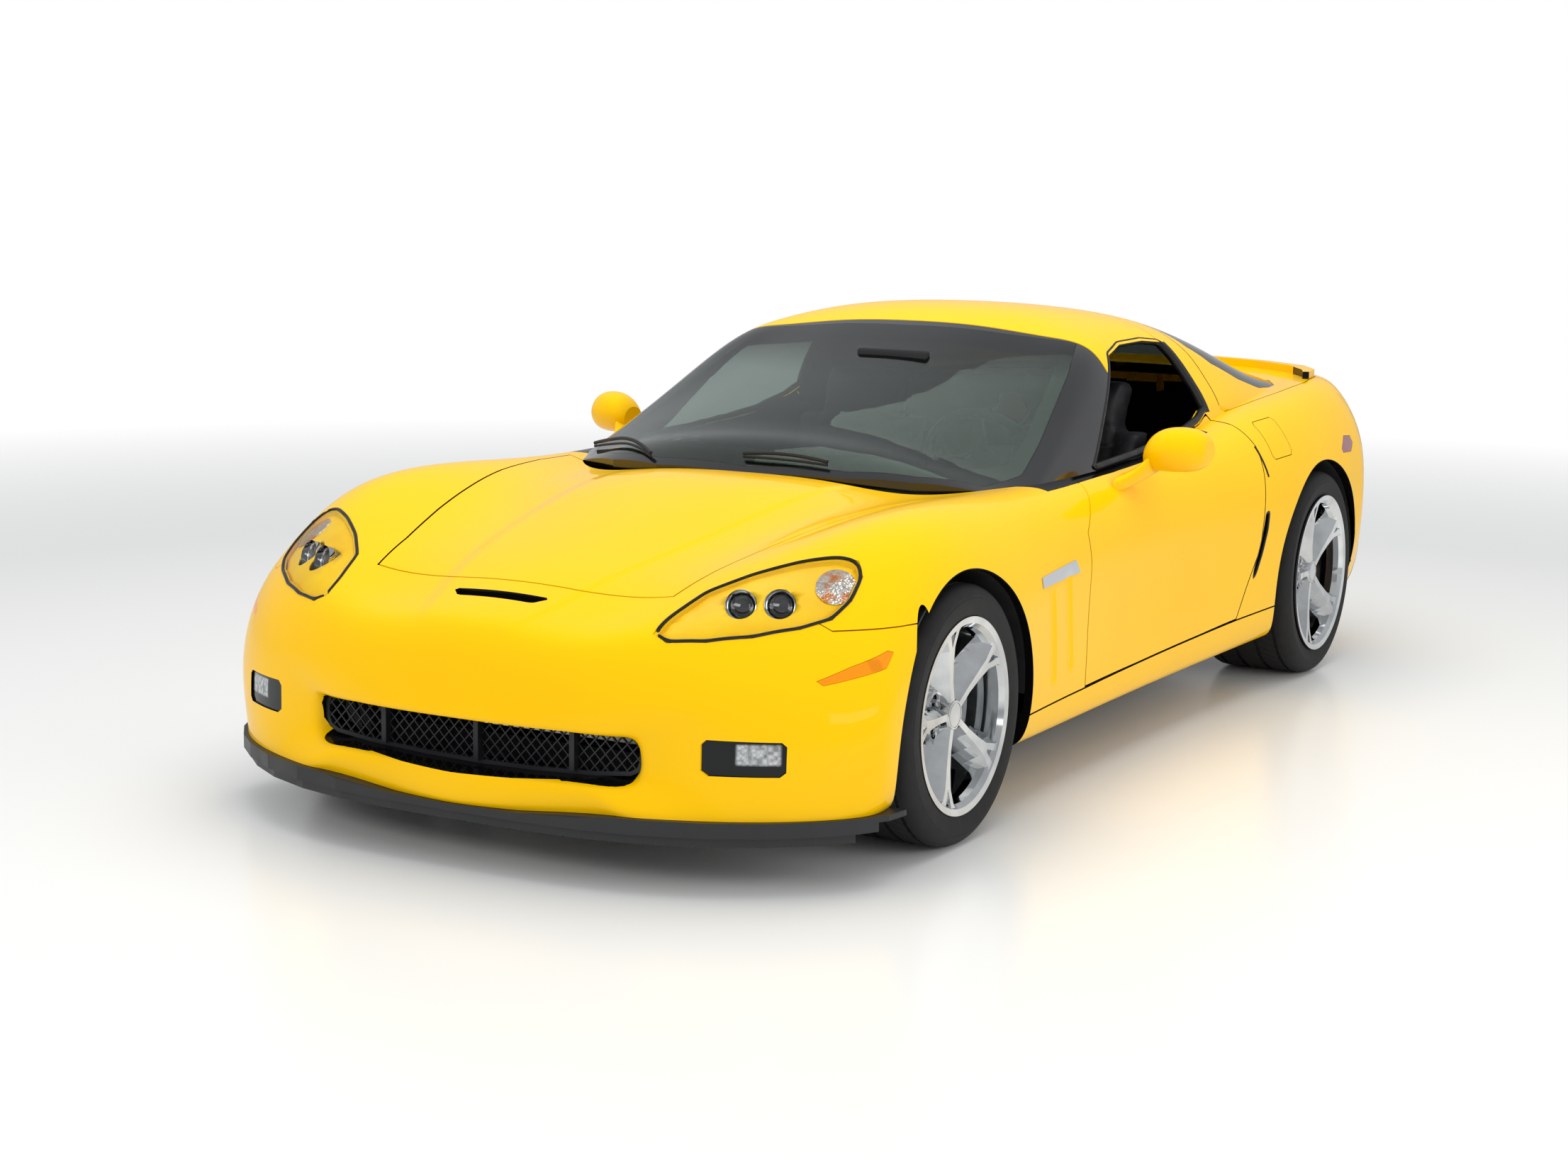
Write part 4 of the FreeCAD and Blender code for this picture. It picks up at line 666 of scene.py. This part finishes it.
# windshield: black ceramic band inside the edge, and the two wipers
screen = {"line": [(0, 74), (330, 84), (556, 104), (604, -60), (668, -400), (690, -560), (640, -700),
                   (480, -790), (300, -845), (0, -874)],
          "top": 0.034, "side": 0.044, "bottom": 0.07, "edge": 0.004, "rows": 5, "under": 0.0012,
          "middleY": -0.35, "bottomFade": (-0.62, 0.12), "topFade": (0.02, 0.06)}
glass = joinedSkin("windshield")
half = [(x / 1000, y / 1000, 0.0) for x, y in screen["line"]]
whole = half + [(-x, y, z) for x, y, z in reversed(half) if x > 0]
outer = denseLine(whole, step=0.012, passes=6)
work = bmesh.new()
rows = []
for row in range(screen["rows"] + 1):
    ring = []
    for index, point in enumerate(outer):
        along = (outer[(index + 1) % len(outer)] - outer[index - 1]).normalized()
        inward = Vector((along.y, -along.x, 0.0))
        if inward.dot(Vector((0, screen["middleY"], 0)) - point) < 0:
            inward = -inward
        width = screen["bottom"]
        for target, (start, over) in (("side", screen["bottomFade"]), ("top", screen["topFade"])):
            share = min(1.0, max(0.0, (point.y - start) / over))
            width += (screen[target] - width) * share
        spot = point + inward * (screen["edge"] + (width - screen["edge"]) * row / screen["rows"])
        hit = glass.ray_cast(Vector((spot.x, spot.y, 0.5)), Vector((0, 0, 1)))[0]
        height = hit.z - screen["under"] if hit else ring[-1].co.z
        ring.append(work.verts.new((spot.x, spot.y, height)))
    rows.append([work.edges.new((ring[i], ring[(i + 1) % len(ring)])) for i in range(len(ring))])
for first, second in zip(rows, rows[1:]):
    bmesh.ops.bridge_loops(work, edges=first + second)
newPiece("screenBand", work, sealRubber, "car_body", 60)
wipers = {"blades": [((-0.690, -0.600), (-0.331, -0.850)), ((-0.024, -0.853), (0.240, -0.848))],
          "lift": 0.010, "arm": 0.0055, "rubber": 0.004, "armGap": 0.009, "armBow": 0.006}
screenSkin = joinedSkin("windshield", "windshield_frame", "hood")
work = bmesh.new()
for (x0, y0), (x1, y1) in wipers["blades"]:
    flat = denseLine([(x0, y0, 0), (x1, y1, 0)], closed=False, step=0.02, passes=0)
    onGlass = []
    for point in flat:
        hit = screenSkin.ray_cast(Vector((point.x, point.y, 1.6)), Vector((0, 0, -1)))[0]
        if hit:
            onGlass.append(hit + Vector((0, 0, wipers["lift"])))
    work.from_mesh(tubeMesh(onGlass, wipers["rubber"], closed=False, steps=1))
    raised = []
    for index, point in enumerate(onGlass):
        bow = math.sin(math.pi * index / (len(onGlass) - 1))
        raised.append(point + Vector((0, 0, wipers["armGap"] + wipers["armBow"] * bow)))
    work.from_mesh(tubeMesh(raised, wipers["arm"], closed=False, steps=1))
newPiece("wipers", work, blackAbs, "car_body", 40)

# interior mirror, hung from the screen
mirror = {"spot": (0.067, -0.134, 1.088), "size": (0.235, 0.032, 0.062), "round": 0.013, "stem": 0.007}
work = bmesh.new()
block = Matrix.Translation(mirror["spot"]) @ Matrix.Diagonal((*mirror["size"], 1))
bmesh.ops.create_cube(work, size=1.0, matrix=block)
bmesh.ops.bevel(work, geom=work.edges[:], offset=mirror["round"], segments=4, profile=0.6, affect="EDGES")
spot = Vector(mirror["spot"])
over = glass.ray_cast(spot, Vector((0, -0.35, 0.94)))[0]
if over:
    bend = spot.lerp(over, 0.5) + Vector((0, -0.006, 0))
    work.from_mesh(tubeMesh([spot, bend, over], mirror["stem"], closed=False))
newPiece("interiorMirror", work, blackAbs, "car_body", 40)
print("windshield trim made")

# side trim: rubber round the side windows and quarter vents, slots behind the doors and blank fender plates
trim = {"window": [(-205, 812), (192, 1108), (330, 1132), (520, 1135), (655, 1124), (716, 918)],
        "doorTop": [(708, 915), (640, 889), (419, 850), (134, 829), (-161, 814), (-195, 813)],
        "seal": 0.012, "sunk": 0.6,
        "vent": [(762, 594), (790, 600), (782, 540), (752, 470), (712, 408), (688, 392), (694, 420),
                 (726, 478), (752, 540)], "ventRim": 0.0045,
        "slot": [(0.776, 0.800), (0.800, 0.705)], "slotRadius": 0.006, "slotSunk": 0.003,
        "plate": [(-0.934, 0.607), (-0.666, 0.619), (-0.639, 0.583), (-0.930, 0.579)],
        "plateThick": 0.003, "plateLift": 0.0005}
inwards = Vector((-1, 0, 0))
beside = Vector((1.6, 0, 0))
flank = joinedSkin("door_left", "quarters", "fenders", "windshield_frame", "roof_panel")
work = bmesh.new()


def flankTube(outline, radius, closed):
    line = denseLine([(0, y / 1000, z / 1000) for y, z in outline], closed, passes=5)
    return tubeMesh(droppedLine(line, flank, 0.008, -trim["sunk"] * radius, closed, inwards), radius, closed)


work.from_mesh(flankTube(trim["window"], trim["seal"], False))
work.from_mesh(flankTube(trim["vent"], trim["ventRim"], True))
line = denseLine([(0, y, z) for y, z in trim["slot"]], False)
onSkin = droppedLine(line, flank, 0.002, -trim["slotSunk"], False, inwards)
work.from_mesh(tubeMesh(onSkin, trim["slotRadius"], False))
bothSides(work)
newPiece("flankSeals", work, sealRubber, "car_body", 60)
for side, name in ((1, "left"), (-1, "right")):
    work = bmesh.new()
    work.from_mesh(flankTube(trim["doorTop"], trim["seal"], False))
    bmesh.ops.scale(work, vec=(side, 1, 1), verts=work.verts)
    newPiece("doorSeal_" + name, work, sealRubber, "door_body_" + name, 60)
work = bmesh.new()
bmesh.ops.create_grid(work, x_segments=16, y_segments=4, size=0.5)
corners = [Vector((0, y, z)) for y, z in trim["plate"]]
for vertex in work.verts:
    across, high = vertex.co.x + 0.5, vertex.co.y + 0.5
    spot = corners[3].lerp(corners[2], across).lerp(corners[0].lerp(corners[1], across), high)
    hit = flank.ray_cast(spot + beside, inwards)[0]
    vertex.co = (hit or spot) + Vector((trim["plateLift"], 0, 0))
walls = bmesh.ops.extrude_face_region(work, geom=work.faces[:])["geom"]
outerVerts = [vertex for vertex in walls if isinstance(vertex, bmesh.types.BMVert)]
bmesh.ops.translate(work, vec=(trim["plateThick"], 0, 0), verts=outerVerts)
bothSides(work)
newPiece("fenderPlates", work, satinSilver, "car_body", 30)
print("side trim made")

# rear quarters: the panel between each rear wheel arch and the bumper seam, faired into the skin round it
fairing = {"centre": (1.293, 0.302), "inner": 0.4145, "outer": 0.79, "from": -11.0, "to": 60.0, "rings": 62,
           "steps": 110, "depth": 0.0008, "rounds": 900, "thick": 0.003, "front": 1.665, "rear": 1.846,
           "top": 0.912, "low": 0.226, "leastX": 0.8, "rearSlack": 0.002,
           "powers": [(0, 0), (1, 0), (0, 1), (2, 0), (1, 1), (0, 2), (0, 3), (1, 2)]}
quarterSkin = joinedSkin("quarters", "rear_fascia")


def skinAt(y, z):
    hit = quarterSkin.ray_cast(Vector((0, y, z)) + beside, inwards)[0]
    return hit.x if hit and hit.x > fairing["leastX"] else None


spots = []
for step in range(fairing["steps"] + 1):
    angle = math.radians(fairing["from"] + (fairing["to"] - fairing["from"]) * step / fairing["steps"])
    row = []
    for ring in range(fairing["rings"] + 1):
        reach = fairing["inner"] + (fairing["outer"] - fairing["inner"]) * ring / fairing["rings"]
        row.append((fairing["centre"][0] + reach * math.cos(angle),
                    fairing["centre"][1] + reach * math.sin(angle)))
    spots.append(row)
found = [[skinAt(*spot) for spot in row] for row in spots]
samples = [(y, z, x) for spotRow, foundRow in zip(spots, found) for (y, z), x in zip(spotRow, foundRow) if x]
terms = numpy.array([[y ** i * z ** j for i, j in fairing["powers"]] for y, z, x in samples])
shape = numpy.linalg.lstsq(terms, numpy.array([x for y, z, x in samples]), rcond=None)[0]


def trendAt(y, z):
    return sum(factor * y ** i * z ** j for factor, (i, j) in zip(shape, fairing["powers"]))


trend = numpy.array([[trendAt(y, z) for y, z in row] for row in spots])
known = numpy.array([[x is not None for x in row] for row in found])
measured = numpy.array([[x or 0.0 for x in row] for row in found])
left = numpy.where(known, measured - trend, 0.0)
for _ in range(fairing["rounds"]):
    padded = numpy.pad(left, 1, mode="edge")
    mean = (padded[2:, 1:-1] + padded[:-2, 1:-1] + padded[1:-1, 2:] + padded[1:-1, :-2]) / 4
    left = numpy.where(known, left, mean)
surface = trend + left - numpy.where(known, fairing["depth"], 0.0)
work = bmesh.new()
bmesh.ops.create_grid(work, x_segments=fairing["steps"], y_segments=fairing["rings"], size=0.5)
wanted = set()
for vertex in work.verts:
    step = round((vertex.co.x + 0.5) * fairing["steps"])
    ring = round((vertex.co.y + 0.5) * fairing["rings"])
    y, z = spots[step][ring]
    inReach = fairing["front"] < y < fairing["rear"] and fairing["low"] < z < fairing["top"]
    if inReach and not known[step][ring]:
        wanted.add(vertex)
    vertex.co = Vector((surface[step][ring], y, z))
spare = [face for face in work.faces if not any(vertex in wanted for vertex in face.verts)
         or max(vertex.co.y for vertex in face.verts) > fairing["rear"] + fairing["rearSlack"]]
bmesh.ops.delete(work, geom=spare, context="FACES")
bmesh.ops.recalc_face_normals(work, faces=work.faces)
if sum(face.normal.x for face in work.faces) < 0:
    bmesh.ops.reverse_faces(work, faces=work.faces)
bmesh.ops.solidify(work, geom=work.faces[:], thickness=fairing["thick"])
bothSides(work)
newPiece("quarterFairings", work, panelPaint, "car_body", 60)
print("quarter fairings made:", len(samples), "skin samples")

# seats: foam cushions swollen as cloth, then their sewn channels
seat = {"x": 0.392, "voxel": 0.012, "smooth": 12, "pressure": 4.0, "moments": 20, "cap": 0.012,
        "panel": 0.135, "channel": 0.007, "width": 0.009, "baseTop": 0.46, "baseChannels": (0.0, 0.13),
        "backChannels": (0.56, 0.68, 0.8), "collar": 0.86, "faceLean": 1.2, "faceGain": 1.4, "fill": 0.7}


def meshFrom(piece):
    bpy.context.view_layer.update()
    made = bpy.data.meshes.new_from_object(piece.evaluated_get(bpy.context.evaluated_depsgraph_get()))
    piece.modifiers.clear()
    piece.data = made
    return made


def groove(distance):
    return math.exp(-(distance / seat["width"]) ** 2)


def cushion(name, side):
    work = bmesh.new()
    work.from_mesh(nodes["seats"].data)
    bmesh.ops.delete(work, geom=[v for v in work.verts if v.co.x * side < 0], context="VERTS")
    piece = newPiece(name, work, blackLeather, "car_body")
    remesh = piece.modifiers.new("remesh", "REMESH")
    remesh.mode = "VOXEL"
    remesh.voxel_size = seat["voxel"]
    soften = piece.modifiers.new("soften", "SMOOTH")
    soften.iterations = seat["smooth"]
    mesh = meshFrom(piece)
    start = [vertex.co.copy() for vertex in mesh.vertices]
    cloth = piece.modifiers.new("cloth", "CLOTH")
    cloth.settings.use_pressure = True
    cloth.settings.uniform_pressure_force = seat["pressure"]
    cloth.settings.effector_weights.gravity = 0.0
    for moment in range(1, seat["moments"] + 1):
        bpy.context.scene.frame_set(moment)
    mesh = meshFrom(piece)
    for vertex, before in zip(mesh.vertices, start):
        moved = vertex.co - before
        if moved.length > seat["cap"]:
            vertex.co = before + moved.normalized() * seat["cap"]
    bpy.context.scene.frame_set(1)
    for vertex in mesh.vertices:
        x, y, z = abs(vertex.co.x) - seat["x"], vertex.co.y, vertex.co.z
        toSitter = (vertex.normal.z - vertex.normal.y * seat["faceLean"]) * seat["faceGain"]
        facing = max(0.0, min(1.0, toSitter))
        depth = groove(abs(x) - seat["panel"])
        if abs(x) < seat["panel"]:
            onBase = z < seat["baseTop"]
            sewn = seat["baseChannels"] if onBase else seat["backChannels"]
            depth = max([depth] + [groove((y if onBase else z) - at) for at in sewn])
        depth = max(depth, groove(z - seat["collar"]))
        vertex.co -= vertex.normal * (depth * facing * seat["channel"])
    mesh.materials.clear()
    mesh.materials.append(blackLeather)
    mesh.shade_smooth()
    return piece


leftSeat = cushion("seatLeft", 1)
cushion("seatRight", -1)
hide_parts("seats")
print("seats made")

# camera as the photograph was taken
camera = {"lens": 58.2131, "sensor": 36.0, "spot": (3.5442, -6.8887, 1.6169), "turn": 29.6295,
          "rise": 9.17595, "roll": 0.782805}
turn, rise, roll = (math.radians(camera[key]) for key in ("turn", "rise", "roll"))
back = Vector((math.sin(turn) * math.cos(rise), -math.cos(turn) * math.cos(rise), math.sin(rise)))
right = (-back).cross(Vector((0, 0, 1))).normalized()
up = right.cross(-back)
tilted = right * math.cos(roll) + up * math.sin(roll)
upright = up * math.cos(roll) - right * math.sin(roll)
lensData = bpy.data.cameras.new("camera")
lensData.lens = camera["lens"]
lensData.sensor_width = camera["sensor"]
lensData.clip_end = 200.0
cameraObject = bpy.data.objects.new("camera", lensData)
bpy.context.scene.collection.objects.link(cameraObject)
turned = Matrix((tilted, upright, back)).transposed().to_4x4()
cameraObject.matrix_world = Matrix.Translation(camera["spot"]) @ turned
bpy.context.scene.camera = cameraObject

# floor, backdrop and lights
stage = {"floorHalf": 30.0, "floorColour": "#E9E9E6", "floorRoughness": 0.25, "fadeFrom": 4.5,
         "fadeTo": 9.5, "worldColour": "#EDEFF2", "worldStrength": 0.92, "glossyStrength": 0.6,
         "lampsAimAt": (0, 0, 0.5)}
bpy.context.scene.view_settings.view_transform = "Standard"
floorMaterial, tree, shader = newMaterial("paleFloor", stage["floorColour"], stage["floorRoughness"])
spot = objectCoords(tree)
distance = addNode(tree, "ShaderNodeVectorMath", {"operation": "LENGTH"}, {0: spot})
fade = addNode(tree, "ShaderNodeMapRange", links={"Value": distance.outputs["Value"]}, i1=stage["fadeFrom"],
               i2=stage["fadeTo"])
clear = addNode(tree, "ShaderNodeBsdfTransparent")
mixed = addNode(tree, "ShaderNodeMixShader", links={0: fade.outputs[0], 1: shader.outputs[0],
                                                    2: clear.outputs[0]})
tree.links.new(mixed.outputs[0], tree.nodes["Material Output"].inputs["Surface"])
floorMesh = bpy.data.meshes.new("floor")
work = bmesh.new()
bmesh.ops.create_grid(work, x_segments=1, y_segments=1, size=stage["floorHalf"])
work.to_mesh(floorMesh)
work.free()
floor = bpy.data.objects.new("floor", floorMesh)
floorMesh.materials.append(floorMaterial)
bpy.context.scene.collection.objects.link(floor)

world = bpy.data.worlds.new("studio")
bpy.context.scene.world = world
world.use_nodes = True
tree = world.node_tree
background = tree.nodes["Background"]
background.inputs["Color"].default_value = linear(stage["worldColour"])
background.inputs["Strength"].default_value = stage["worldStrength"]
glossy = addNode(tree, "ShaderNodeBackground", Color=linear(stage["worldColour"]),
                 Strength=stage["glossyStrength"])
bright = addNode(tree, "ShaderNodeBackground", Color=(1, 1, 1, 1), Strength=1.0)
rays = addNode(tree, "ShaderNodeLightPath")
dim = addNode(tree, "ShaderNodeMixShader", links={0: rays.outputs["Is Glossy Ray"], 1: background.outputs[0],
                                                  2: glossy.outputs[0]})
mixed = addNode(tree, "ShaderNodeMixShader", links={0: rays.outputs["Is Camera Ray"], 1: dim.outputs[0],
                                                    2: bright.outputs[0]})
tree.links.new(mixed.outputs[0], tree.nodes["World Output"].inputs["Surface"])

lamps = [("overhead", (0.0, 0.0, 5.0), (5.0, 6.0), 190.0, False),
         ("side", (6.5, -1.5, 2.6), (6.0, 2.4), 120.0, False),
         ("front", (-1.5, -7.5, 3.4), (6.0, 1.6), 115.0, False),
         ("strip", (6.0, -3.5, 1.2), (3.2, 0.5), 10.0, True)]
for name, spot, size, power, mirrored in lamps:
    lampData = bpy.data.lights.new(name, "AREA")
    lampData.shape = "RECTANGLE"
    lampData.size, lampData.size_y = size
    lampData.energy = power
    lampObject = bpy.data.objects.new(name, lampData)
    lampObject.visible_glossy = mirrored
    bpy.context.scene.collection.objects.link(lampObject)
    aim = Vector(stage["lampsAimAt"]) - Vector(spot)
    lampObject.matrix_world = Matrix.Translation(spot) @ aim.to_track_quat("-Z", "Y").to_matrix().to_4x4()
print("stage and camera set")
